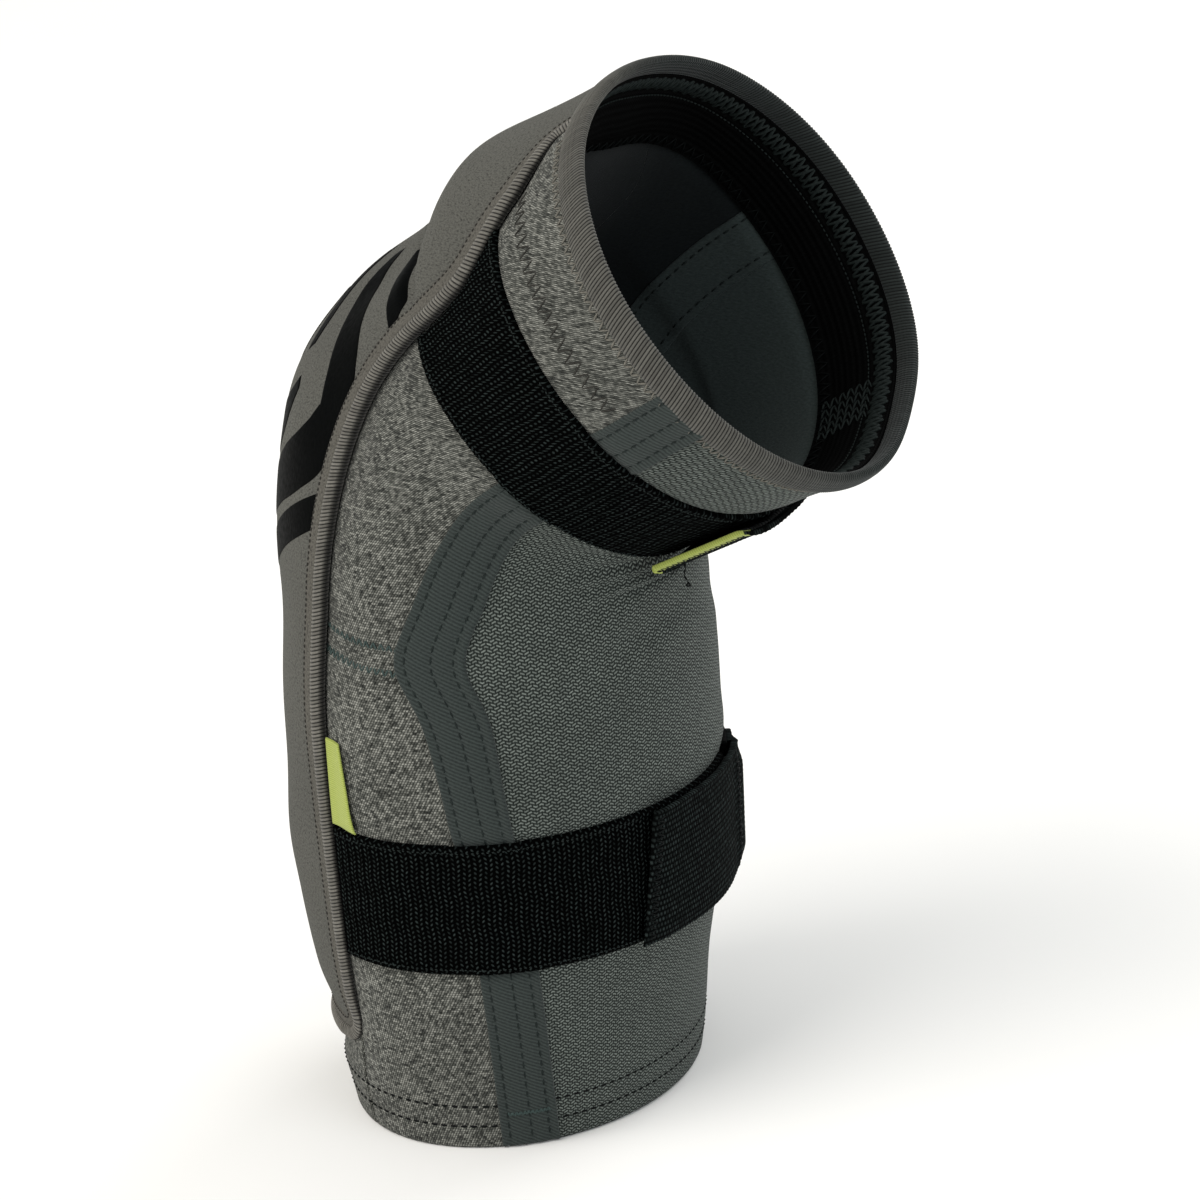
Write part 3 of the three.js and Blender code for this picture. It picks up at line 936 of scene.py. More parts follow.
@dataclass(frozen=True)
class CrookMesh:
    """Woven nylon stretch cloth: brick rows of short floats over a darker ground.

    The eye gets fine rows of light dashes that lean one way and then the other, with a slight shine.
    """

    ground: str = "#191e1c"
    float_yarn: str = "#7d857f"
    across_mm: float = 1.25
    along_mm: float = 0.72
    lean_mm: float = 2.2

    def make(self) -> Material:
        """The material: a brick of dashes on the weave, whose rows rise and fall as a low chevron."""
        r = Recipe("woven_nylon_stretch_mesh")
        u, v = r.weave()
        rise = r.add(MATH, u, self.lean_mm / 2, operation="PINGPONG")
        row = r.add(MATH, r.add(MATH, rise, 0.45, v, operation="MULTIPLY_ADD"), self.along_mm,
                    operation="DIVIDE")
        number, part = r.cell(row)
        shift = r.add(MATH, r.add(MATH, number, 2.0, operation="FLOORED_MODULO"), 0.5, operation="MULTIPLY")
        cell = r.add(MATH, r.add(MATH, u, self.across_mm, operation="DIVIDE"), shift, operation="ADD")
        inside = r.add(MATH, cell, operation="FRACT")
        far = r.add(MATH, r.add(MATH, inside, -0.5, operation="ADD"), operation="ABSOLUTE")
        long = r.add(RANGE, far, 0.27, 0.47, 1.0, 0.0, interpolation_type="SMOOTHSTEP")
        arch = r.arch(part)
        thin = r.add(MATH, arch, 2.2, operation="POWER")
        dash = r.add(MATH, long, thin, operation="MULTIPLY")
        each = r.chance(r.add(MATH, cell, operation="FLOOR"), number)
        cloud = r.add(NOISE, r.add(SOLID, out="Object"), None, 30.0, 2.0, 0.5)
        glint = r.add(RANGE, each, 0.0, 1.0, 0.62, 0.95)
        amount = r.add(MATH, dash, glint, operation="MULTIPLY")
        base = r.add(MIX, amount, linear(self.ground), linear(self.float_yarn))
        shade = r.add(RANGE, cloud, 0.3, 0.7, 0.93, 1.06)
        colour = r.add(MIX, 1.0, base, shade, blend_type="MULTIPLY")
        return r.finish(colour, r.add(RANGE, dash, 0.0, 1.0, 0.85, 0.6), dash, 0.2, sheen=0.06)


@dataclass(frozen=True)
class TwillTape:
    """Folded polyester twill tape: fine slanted ribs, dark teal grey, matt."""

    colour: str = "#3b4240"
    dark: str = "#232827"
    rib_mm: float = 0.85  # real twill is about 0.5 mm, drawn coarser so that it shows

    def make(self) -> Material:
        """The material: slanted ribs on the weave, broken up by noise."""
        r = Recipe("polyester_twill_tape")
        u, v = r.weave()
        slant = r.add(MATH, u, 0.55, v, operation="MULTIPLY_ADD")
        wave = r.wave(slant, self.rib_mm)
        rib = r.add(RANGE, wave, -1.0, 1.0, 0.0, 1.0)
        fleck = r.add(NOISE, r.add(PACK, u, v, 0.0), None, 1.9, 3.0, 0.7)
        mixed = r.add(MATH, rib, 0.5, fleck, operation="MULTIPLY_ADD")
        amount = r.add(RANGE, mixed, 0.4, 1.15, 0.0, 1.0)
        colour = r.add(MIX, amount, linear(self.dark), linear(self.colour))
        return r.finish(colour, 0.88, mixed, 0.1, sheen=0.12)


@dataclass(frozen=True)
class BrushedLining:
    """Brushed polyester backing: near black, soft, with only a faint nap."""

    name: str = "brushed_polyester_lining"
    colour: str = "#101314"
    pale: str = "#1b2021"

    def make(self) -> Material:
        """The material: a fine nap from two sizes of noise."""
        r = Recipe(self.name)
        u, v = r.weave()
        nap = r.add(NOISE, r.add(PACK, u, v, 0.0), None, 1.6, 4.0, 0.75)
        colour = r.add(MIX, r.add(RANGE, nap, 0.3, 0.75, 0.0, 1.0), linear(self.colour), linear(self.pale))
        return r.finish(colour, 0.95, nap, 0.08, sheen=0.08)


@dataclass(frozen=True)
class PebbledCover:
    """Coated polyester knit over foam, embossed with a fine pebble.

    The eye gets a smooth warm grey with tiny dark specks and a very broad, weak shine.
    """

    name: str = "pebble_embossed_polyester"
    colour: str = "#5b5b56"
    dark: str = "#262624"
    pebble_mm: float = 0.8

    def make(self) -> Material:
        """The material: small cells for the pebble, and scattered specks in the hollows."""
        r = Recipe(self.name)
        u, v = r.weave()
        place = r.add(PACK, u, v, 0.0)
        cells = r.add(VORONOI, place, None, 1.0 / self.pebble_mm, voronoi_dimensions="2D", feature="F1")
        speck = r.add(NOISE, place, None, 2.2, 3.0, 0.75)
        cloud = r.add(NOISE, r.add(SOLID, out="Object"), None, 26.0, 2.0, 0.5)
        amount = r.add(RANGE, speck, 0.34, 0.58, 1.0, 0.0)
        amount = r.add(MATH, amount, r.add(RANGE, cells, 0.1, 0.7, 0.25, 1.0), operation="MULTIPLY")
        base = r.add(MIX, amount, linear(self.colour), linear(self.dark))
        colour = r.add(MIX, 1.0, base, r.add(RANGE, cloud, 0.3, 0.7, 0.93, 1.06), blend_type="MULTIPLY")
        relief = r.add(MATH, speck, cells, operation="SUBTRACT")
        return r.finish(colour, 0.85, relief, 0.22, sheen=0.03)


@dataclass(frozen=True)
class GlossPrint:
    """Silicone ink, screen printed thick: black, smooth, with a soft shine."""

    colour: str = "#020303"

    def make(self) -> Material:
        """The material: black ink whose shine is broken by the pebble under it."""
        r = Recipe("silicone_ink_print")
        u, v = r.weave()
        grain = r.add(NOISE, r.add(PACK, u, v, 0.0), None, 1.2, 2.0, 0.6)
        rough = r.add(RANGE, grain, 0.3, 0.7, 0.5, 0.65)
        return r.finish(linear(self.colour), rough, grain, 0.05, Specular_IOR_Level=0.02)


@dataclass(frozen=True)
class OverlockThread:
    """Textured polyester thread, packed side by side round an edge.

    The eye gets pale plump threads with painted shade in the slits between them.
    """

    name: str = "textured_polyester_thread"
    colour: str = "#6b6963"
    # The painted shade in the slits between the threads.
    dark: str = "#10100f"
    # A painted shade that v turns the thread to; for the binding it is the colour itself, so none shows.
    other: str = "#6b6963"

    def make(self) -> Material:
        """The material: u counts threads, with painted shade between them; v goes from the colour to the
        other, a painted shade, and at 1 is painted shade in the groove along the knit.
        """
        r = Recipe(self.name)
        u, v = r.weave()
        part = r.add(MATH, u, operation="FRACT")
        wave = r.arch(part)
        number = r.add(MATH, u, operation="FLOOR")
        each = r.chance(number, 0.0)
        fuzz = r.add(NOISE, r.add(SOLID, out="Object"), None, 2600.0, 2.0, 0.6)
        # Painted shade in the slits: where a thread's arch is low, the colour turns dark.
        amount = r.add(RANGE, wave, 0.15, 0.8, 0.0, 1.0)
        # Painted shade: v turns the colour to the other.
        yarn = r.add(MIX, r.add(RANGE, v, 0.0, 0.84, 0.0, 1.0), linear(self.colour), linear(self.other))
        base = r.add(MIX, amount, linear(self.dark), yarn)
        shade = r.add(RANGE, each, 0.0, 1.0, 0.8, 1.12)
        shade = r.add(MATH, shade, r.add(RANGE, fuzz, 0.3, 0.7, 0.86, 1.1), operation="MULTIPLY")
        # Painted shade in the groove: from v 0.86 to 1, on the bead's outer flank by the knit, the colour
        # falls to 0.12 of itself.
        edge = r.add(RANGE, v, 0.86, 1.0, 1.0, 0.12)
        shade = r.add(MATH, shade, edge, operation="MULTIPLY")
        colour = r.add(MIX, 1.0, base, shade, blend_type="MULTIPLY")
        return r.finish(colour, 0.82, wave, 0.12, sheen=0.15)


@dataclass(frozen=True)
class LoopElastic:
    """Brushed loop elastic: a knitted band of tight nylon loops on rubber.

    The eye gets near black chains across the band, whose small leaning loops catch a cold glint.
    """

    dark: str = "#010101"
    glint: str = "#313938"
    chain_mm: float = 2.1
    loop_mm: float = 1.1

    def make(self) -> Material:
        """The material: half chains side by side, whose loops lean left and right in turn."""
        r = Recipe("nylon_loop_elastic")
        u, v = r.weave()
        drift = r.add(NOISE, r.add(PACK, u, v, 0.0), None, 0.2, 1.0, 0.5)
        wave = r.wave(v, 9.0)
        bent = r.add(MATH, wave, 0.14, u, operation="MULTIPLY_ADD")
        bent = r.add(MATH, drift, 0.4, bent, operation="MULTIPLY_ADD")
        half = r.add(MATH, bent, self.chain_mm / 2, operation="DIVIDE")
        number, inside = r.cell(half)
        lean = r.add(MATH, r.add(MATH, number, 2.0, operation="FLOORED_MODULO"), 2.0, -1.0,
                     operation="MULTIPLY_ADD")
        lean = r.add(MATH, lean, r.add(MATH, inside, 0.7, operation="MULTIPLY"), operation="MULTIPLY")
        loop = r.add(MATH, r.add(MATH, v, self.loop_mm, operation="DIVIDE"), lean, operation="ADD")
        part = r.add(MATH, loop, operation="FRACT")
        arch = r.arch(part)
        side = r.arch(inside)
        relief = r.add(MATH, arch, side, operation="MULTIPLY")
        each = r.chance(r.add(MATH, loop, operation="FLOOR"), number)
        painted_glint = r.add(MATH, r.add(RANGE, relief, 0.55, 1.0, 0.0, 1.0),
                       r.add(RANGE, each, 0.0, 1.0, 0.3, 1.0), operation="MULTIPLY")
        colour = r.add(MIX, painted_glint, linear(self.dark), linear(self.glint))
        return r.finish(colour, 0.95, relief, 0.35, Specular_IOR_Level=0.02)


@dataclass(frozen=True)
class NylonWebbing:
    """Woven nylon webbing: dense cross rows of short black ribs, with a painted green-grey glint on their
    crests.
    """

    dark: str = "#030404"
    # The painted glint's colour on the ribs' crests.
    pale: str = "#2f3736"
    rib_mm: float = 1.25
    row_mm: float = 0.9

    def make(self) -> Material:
        """The material: ribs along the webbing, each broken into rows."""
        r = Recipe("woven_nylon_webbing")
        u, v = r.weave()
        rib = r.add(MATH, v, self.rib_mm, operation="DIVIDE")
        number, part = r.cell(rib)
        step = r.add(MATH, r.add(MATH, u, self.row_mm, operation="DIVIDE"),
                     r.add(MATH, number, 0.5, operation="MULTIPLY"), operation="ADD")
        inside = r.add(MATH, step, operation="FRACT")
        arch = r.arch(part)
        side = r.arch(inside)
        relief = r.add(MATH, arch, side, operation="MULTIPLY")
        each = r.chance(r.add(MATH, step, operation="FLOOR"), number)
        # Painted glint: the ribs' crests turn pale, more on some than on others.
        painted_glint = r.add(MATH, r.add(RANGE, relief, 0.3, 1.0, 0.0, 1.0),
                       r.add(RANGE, each, 0.0, 1.0, 0.3, 1.0), operation="MULTIPLY")
        colour = r.add(MIX, painted_glint, linear(self.dark), linear(self.pale))
        return r.finish(colour, 0.9, relief, 0.3, Specular_IOR_Level=0.03)


@dataclass(frozen=True)
class RibbedElastic:
    """Knitted elastic with silicone lines: black, fine ribs round the arm, a weak rubbery shine."""

    name: str = "ribbed_knitted_elastic"
    dark: str = "#030303"
    pale: str = "#171a1a"
    rib_mm: float = 1.1

    def make(self) -> Material:
        """The material: even ribs along the run, with fine cross yarns."""
        r = Recipe(self.name)
        u, v = r.weave()
        rib = r.wave(v, self.rib_mm)
        yarn = r.wave(u, 0.9)
        relief = r.add(RANGE, r.add(MATH, yarn, 0.35, rib, operation="MULTIPLY_ADD"), -1.35, 1.35, 0.0, 1.0)
        fleck = r.add(NOISE, r.add(PACK, u, v, 0.0), None, 1.1, 2.0, 0.6)
        amount = r.add(MATH, relief, r.add(RANGE, fleck, 0.3, 0.7, 0.3, 1.0), operation="MULTIPLY")
        colour = r.add(MIX, amount, linear(self.dark), linear(self.pale))
        return r.finish(colour, 0.85, relief, 0.2, Specular_IOR_Level=0.03)


@dataclass(frozen=True)
class MouldedHooks:
    """Moulded nylon hook tape: black, with rows of tiny stiff hooks that scatter the light."""

    colour: str = "#0f1010"
    tip: str = "#2a2c2c"
    hook_mm: float = 1.2

    def make(self) -> Material:
        """The material: a round dot for each hook on the weave."""
        r = Recipe("moulded_nylon_hooks")
        u, v = r.weave()
        place = r.add(PACK, u, v, 0.0)
        dots = r.add(VORONOI, place, None, 1.0 / self.hook_mm, voronoi_dimensions="2D",
                     named={"Randomness": 0.15})
        rise = r.add(RANGE, dots, 0.15, 0.5, 1.0, 0.0)
        colour = r.add(MIX, rise, linear(self.colour), linear(self.tip))
        return r.finish(colour, 0.5, rise, 0.4)


@dataclass(frozen=True)
class LimeSatin:
    """Woven satin label tape: lime, fine floats, a soft silky shine and no print."""

    colour: str = "#a9b45e"
    dark: str = "#808c42"
    float_mm: float = 0.5

    def make(self) -> Material:
        """The material: fine lines of floats across the tape."""
        r = Recipe("woven_satin_label")
        u, v = r.weave()
        wave = r.wave(v, self.float_mm)
        fleck = r.add(NOISE, r.add(PACK, r.add(MATH, u, 0.3, operation="MULTIPLY"), v, 0.0), None, 3.0, 2.0)
        relief = r.add(RANGE, r.add(MATH, fleck, 1.5, wave, operation="MULTIPLY_ADD"), -1.0, 2.0, 0.0, 1.0)
        colour = r.add(MIX, relief, linear(self.dark), linear(self.colour))
        return r.finish(colour, 0.48, relief, 0.05, sheen=0.1)


@dataclass(frozen=True)
class FoamFinish:
    """Open-cell polyurethane foam: charcoal, matt, with fine cells."""

    colour: str = "#2c2d2e"
    pale: str = "#3c3d3e"

    def make(self) -> Material:
        """The material: cells in the solid."""
        r = Recipe("open_cell_foam")
        cells = r.add(VORONOI, r.add(SOLID, out="Object"), None, 900.0)
        colour = r.add(MIX, cells, linear(self.colour), linear(self.pale))
        return r.finish(colour, 0.95, cells, 0.3)


@dataclass(frozen=True)
class SewingThread:
    """Bonded polyester sewing thread: a twisted strand with a dull shine."""

    name: str
    colour: str

    def make(self) -> Material:
        """The material: a fine twist in the solid."""
        r = Recipe(self.name)
        twist = r.add(NOISE, r.add(SOLID, out="Object"), None, 2200.0, 2.0, 0.6)
        shade = r.add(RANGE, twist, 0.3, 0.7, 0.7, 1.2)
        colour = r.add(MIX, 1.0, linear(self.colour), shade, blend_type="MULTIPLY")
        return r.finish(colour, 0.6, twist, 0.05)


@dataclass
class Finishes:
    """Every material on the guard, made once."""

    heather: Material = field(default_factory=HeatherKnit().make)
    mesh: Material = field(default_factory=CrookMesh().make)
    mesh_back: Material = field(default_factory=BrushedLining("brushed_mesh_back", "#2b3231", "#414a49").make)
    flange: Material = field(default_factory=PebbledCover("flat_polyester_tape", "#5f5d57", "#343330").make)
    tape: Material = field(default_factory=TwillTape().make)
    lining: Material = field(default_factory=BrushedLining().make)
    cover: Material = field(default_factory=PebbledCover().make)
    gloss: Material = field(default_factory=GlossPrint().make)
    binding: Material = field(default_factory=OverlockThread().make)
    # The rim's thread: #0c0e0d is painted shade between its threads, and #2b302f a painted shade on the
    # cuff's far side, away from the key light.
    rim: Material = field(
        default_factory=OverlockThread("textured_rim_thread", "#595853", "#0c0e0d", "#2b302f").make
    )
    loop: Material = field(default_factory=LoopElastic().make)
    webbing: Material = field(default_factory=NylonWebbing().make)
    elastic: Material = field(default_factory=RibbedElastic().make)
    gripper: Material = field(
        default_factory=RibbedElastic("silicone_gripper_elastic", "#020202", "#0b0c0c", 1.6).make
    )
    hooks: Material = field(default_factory=MouldedHooks().make)
    lime: Material = field(default_factory=LimeSatin().make)
    foam: Material = field(default_factory=FoamFinish().make)
    dark_thread: Material = field(default_factory=SewingThread("dark_polyester_thread", "#0c0f0f").make)
    teal_thread: Material = field(default_factory=SewingThread("teal_polyester_thread", "#3e4b49").make)
    grey_thread: Material = field(default_factory=SewingThread("grey_polyester_thread", "#6b6962").make)
    # A real charcoal thread, drawn dark so that it also paints the shade along its stitch lines.
    shadow_thread: Material = field(default_factory=SewingThread("charcoal_polyester_thread", "#33322f").make)
    lace_thread: Material = field(default_factory=SewingThread("green_grey_polyester_thread", "#222827").make)


# ---------------------------------------------------------------------------------------------
# Sub-assemblies
# ---------------------------------------------------------------------------------------------


def raised(surface: Surface, height: float) -> Surface:
    """A surface that lies a height above another."""
    return lambda run, angle: surface(run, angle) + height


STRETCHES = ("forearm", "elbow", "upper_arm")


def sides_of(side: Side, start: Line, end: Line) -> tuple[Line, Line]:
    """Two lines along the sleeve for one of its sides: as given on the label side, mirrored on the other."""
    if side is Side.LABEL:
        return start, end
    return (lambda run: -end(run)), (lambda run: -start(run))


@dataclass
class KnittedSleeve:
    """The sleeve's own cloth: two heather panels, the crook's mesh and the lining behind the pad."""

    finishes: Finishes
    thickness: float = 1.4
    seam_gap: float = 0.15
    step: float = 1.7
    hem_rows: tuple = (5.6, 10.6)

    def hemmed(self, run: Array, angle: Array) -> Array:
        """The cloth's face, pulled in under the hem's two rows of stitches."""
        return FORM.skin(run, angle) - 0.4 * sum(bump(run, row, 0.7) for row in self.hem_rows)

    @staticmethod
    def seam_line(angle: Array) -> Array:
        """The cross seam's run: it falls by 2 mm from the pad's edge round to the tape."""
        return 117.0 - (angle - 66.0) / 31.0 * 2.0

    def cross_seam(self, run: Array, angle: Array) -> Array:
        """The knit's face, drawn in along the seam that joins two lengths of heather below the elbow."""
        line = self.seam_line(turn(angle))
        beside = window(turn(angle), 62.0, 98.0, 6.0)
        pulled = bump(run, line - 2.1, 0.8) + bump(run, line + 2.1, 0.8)
        return self.hemmed(run, angle) - 0.4 * beside * pulled

    def panels(self) -> None:
        """Makes the four panels. Each has its own outer face, and the laminate's black back."""
        gap = self.seam_gap
        end = FORM.panel_end
        for side in Side:
            start, stop = sides_of(
                side,
                lambda run: FORM.pad_edge(run) + FORM.degrees(1.0, run, PAD_EDGE_AT),
                lambda run, way=side.value: FORM.tape(run, way) * way - FORM.degrees(gap, run, TAPE_AT),
            )
            name = f"heather_{side.where}"
            panel = Patch(name, 0.0, end, start, stop, self.cross_seam, self.thickness, self.step)
            piece = panel.build([self.finishes.heather, self.finishes.lining])
            nodes = [f"heather_{part}_{side.where}" for part in STRETCHES]
            settle(piece, Body.BENDS, nodes)
        crook = Patch(
            "crook_mesh", 0.0, end,
            lambda run: FORM.tape(run, 1.0) + FORM.degrees(gap, run, TAPE_AT),
            lambda run: 360.0 + FORM.tape(run, -1.0) - FORM.degrees(gap, run, TAPE_AT),
            self.hemmed, self.thickness, self.step,
        ).build([self.finishes.mesh, self.finishes.mesh_back])
        settle(crook, Body.BENDS, [f"crook_mesh_{part}" for part in STRETCHES])
        lining = Patch(
            "pad_lining", 0.0, end,
            lambda run: -FORM.pad_edge(run) - FORM.degrees(0.98, run, PAD_EDGE_AT),
            lambda run: FORM.pad_edge(run) + FORM.degrees(0.98, run, PAD_EDGE_AT),
            self.hemmed, self.thickness, self.step,
        ).build([self.finishes.heather, self.finishes.lining])
        settle(lining, Body.BENDS, [f"pad_lining_{part}" for part in STRETCHES])

    def hem(self) -> None:
        """Makes the turned-in hem and the two rows of stitches that hold it, and the cross seam's."""
        inside = raised(FORM.skin, -self.thickness - 0.1)
        facing = Patch(
            "hem_facing", 0.0, FORM.hem_depth, steady(-179.8), steady(179.8), inside, 0.9, 1.4, inside=True,
        ).build([self.finishes.heather, self.finishes.tape])
        settle(facing, Body.FOREARM, ["forearm_hem_facing"])
        seam = Seam(2.3, 0.8, 0.6, 0.55)
        angle = np.linspace(0.0, 360.0, 500)
        face = raised(self.hemmed, 0.2)
        rows = [seam.running(face, np.full_like(angle, run), angle) for run in self.hem_rows]
        sew("hem_stitches", rows, seam, self.finishes.dark_thread, Body.FOREARM)
        rows = []
        small = Seam(1.9, 0.9, 0.55, 0.45)
        for side in Side:
            angle = np.linspace(68.5, 96.0, 60)
            for shift in (-2.4, 2.4):
                run = self.seam_line(angle) + shift
                rows.append(small.zigzag(raised(self.cross_seam, 0.12), run, angle * side.value, 1.1))
        sew("heather_cross_seams", rows, small, self.finishes.teal_thread, Body.BENDS)

    def build(self) -> None:
        """Builds the panels, then the hem."""
        self.panels()
        self.hem()


@dataclass
class SeamTapes:
    """The twill tapes over the two long seams, outside and inside, each sewn down by rows of stitches."""

    finishes: Finishes
    width: float = 13.0
    thickness: float = 0.5
    row_offsets: tuple = (-4.6, 0.2, 4.2)
    inner_offsets: tuple = (-4.6, 4.6)
    bartack_run: float = 8.6
    seam: Seam = Seam(2.5, 0.8, 0.5, 0.4)

    def face(self, run: Array, angle: Array) -> Array:
        """The tape's outer face: pulled down along its rows of stitches, with a rolled fold at the crook."""
        away = FORM.from_tape(run, angle) / self.widen(run)
        pulled = sum(bump(away, offset, 0.6) for offset in self.row_offsets)
        return FORM.skin(run, angle) + self.thickness - 0.34 * pulled + 0.42 * bump(away, 5.9, 0.7)

    @staticmethod
    def widen(run: Array) -> Array:
        """How much the tape is pulled wider where it goes round the bend: up to a fifth."""
        return 1.0 + 0.2 * bump(run, 118.0, 24.0)

    def beside(self, side: Side, away: float) -> Line:
        """A line that keeps its distance from a tape's middle.

        Args:
            side: which tape.
            away: millimetres towards the crook, before the tape is pulled wider.

        Returns:
            The line's angle for each run.
        """
        def line(run: Array) -> Array:
            """The tape's middle, and the offset turned into degrees."""
            return FORM.tape(run, side.value) + FORM.degrees(away * self.widen(run), run, TAPE_AT)

        return line

    def build(self) -> None:
        """Makes both sides' tapes, and their stitches."""
        rows, inner_rows, bars = [], [], []
        tack = Seam(0.9, 1.0, 0.5, 0.6)
        inner = raised(FORM.skin, -1.45)
        for side in Side:
            half, way = self.width / 2, side.value
            start, end = self.beside(side, -half), self.beside(side, half)
            tape = Patch(
                f"seam_tape_{side.where}", 0.4, FORM.panel_end, start, end, self.face, 0.5, 0.8, 0.5,
                floor=raised(FORM.skin, -0.1),
            ).build([self.finishes.tape])
            nodes = [f"seam_tape_{part}_{side.where}" for part in STRETCHES]
            settle(tape, Body.BENDS, nodes)
            back = Patch(
                f"seam_tape_inside_{side.where}", FORM.hem_depth, FORM.panel_end - 4.0, start, end, inner,
                0.45, 1.6, 0.5, inside=True,
            ).build([self.finishes.mesh_back])
            settle(back, Body.BENDS)
            run = np.linspace(2.0, FORM.panel_end - 1.0, 400)
            for offset in self.row_offsets:
                angle = self.beside(side, offset * way)(run)
                rows.append(self.seam.running(raised(self.face, 0.05), run, angle))
            run = np.linspace(FORM.hem_depth + 1.0, FORM.panel_end - 5.0, 400)
            for offset in self.inner_offsets:
                angle = self.beside(side, offset * way)(run)
                inner_rows.append(turned_in(self.seam.running(raised(FORM.skin, -1.95), run, angle)))
            across = np.linspace(-4.4, 5.0, 30)
            run = np.full_like(across, self.bartack_run)
            angle = FORM.tape(run, way) + FORM.degrees(across, run, TAPE_AT) * way
            bars.append(tack.zigzag(raised(self.face, 0.05), run, angle, 0.5))
        sew("tape_bartacks", bars, tack, self.finishes.teal_thread, Body.FOREARM)
        thread = self.finishes.lace_thread
        sew("seam_tape_stitches", rows, self.seam, thread, Body.BENDS)
        sew("seam_tape_inside_stitches", inner_rows, self.seam, thread, Body.BENDS)


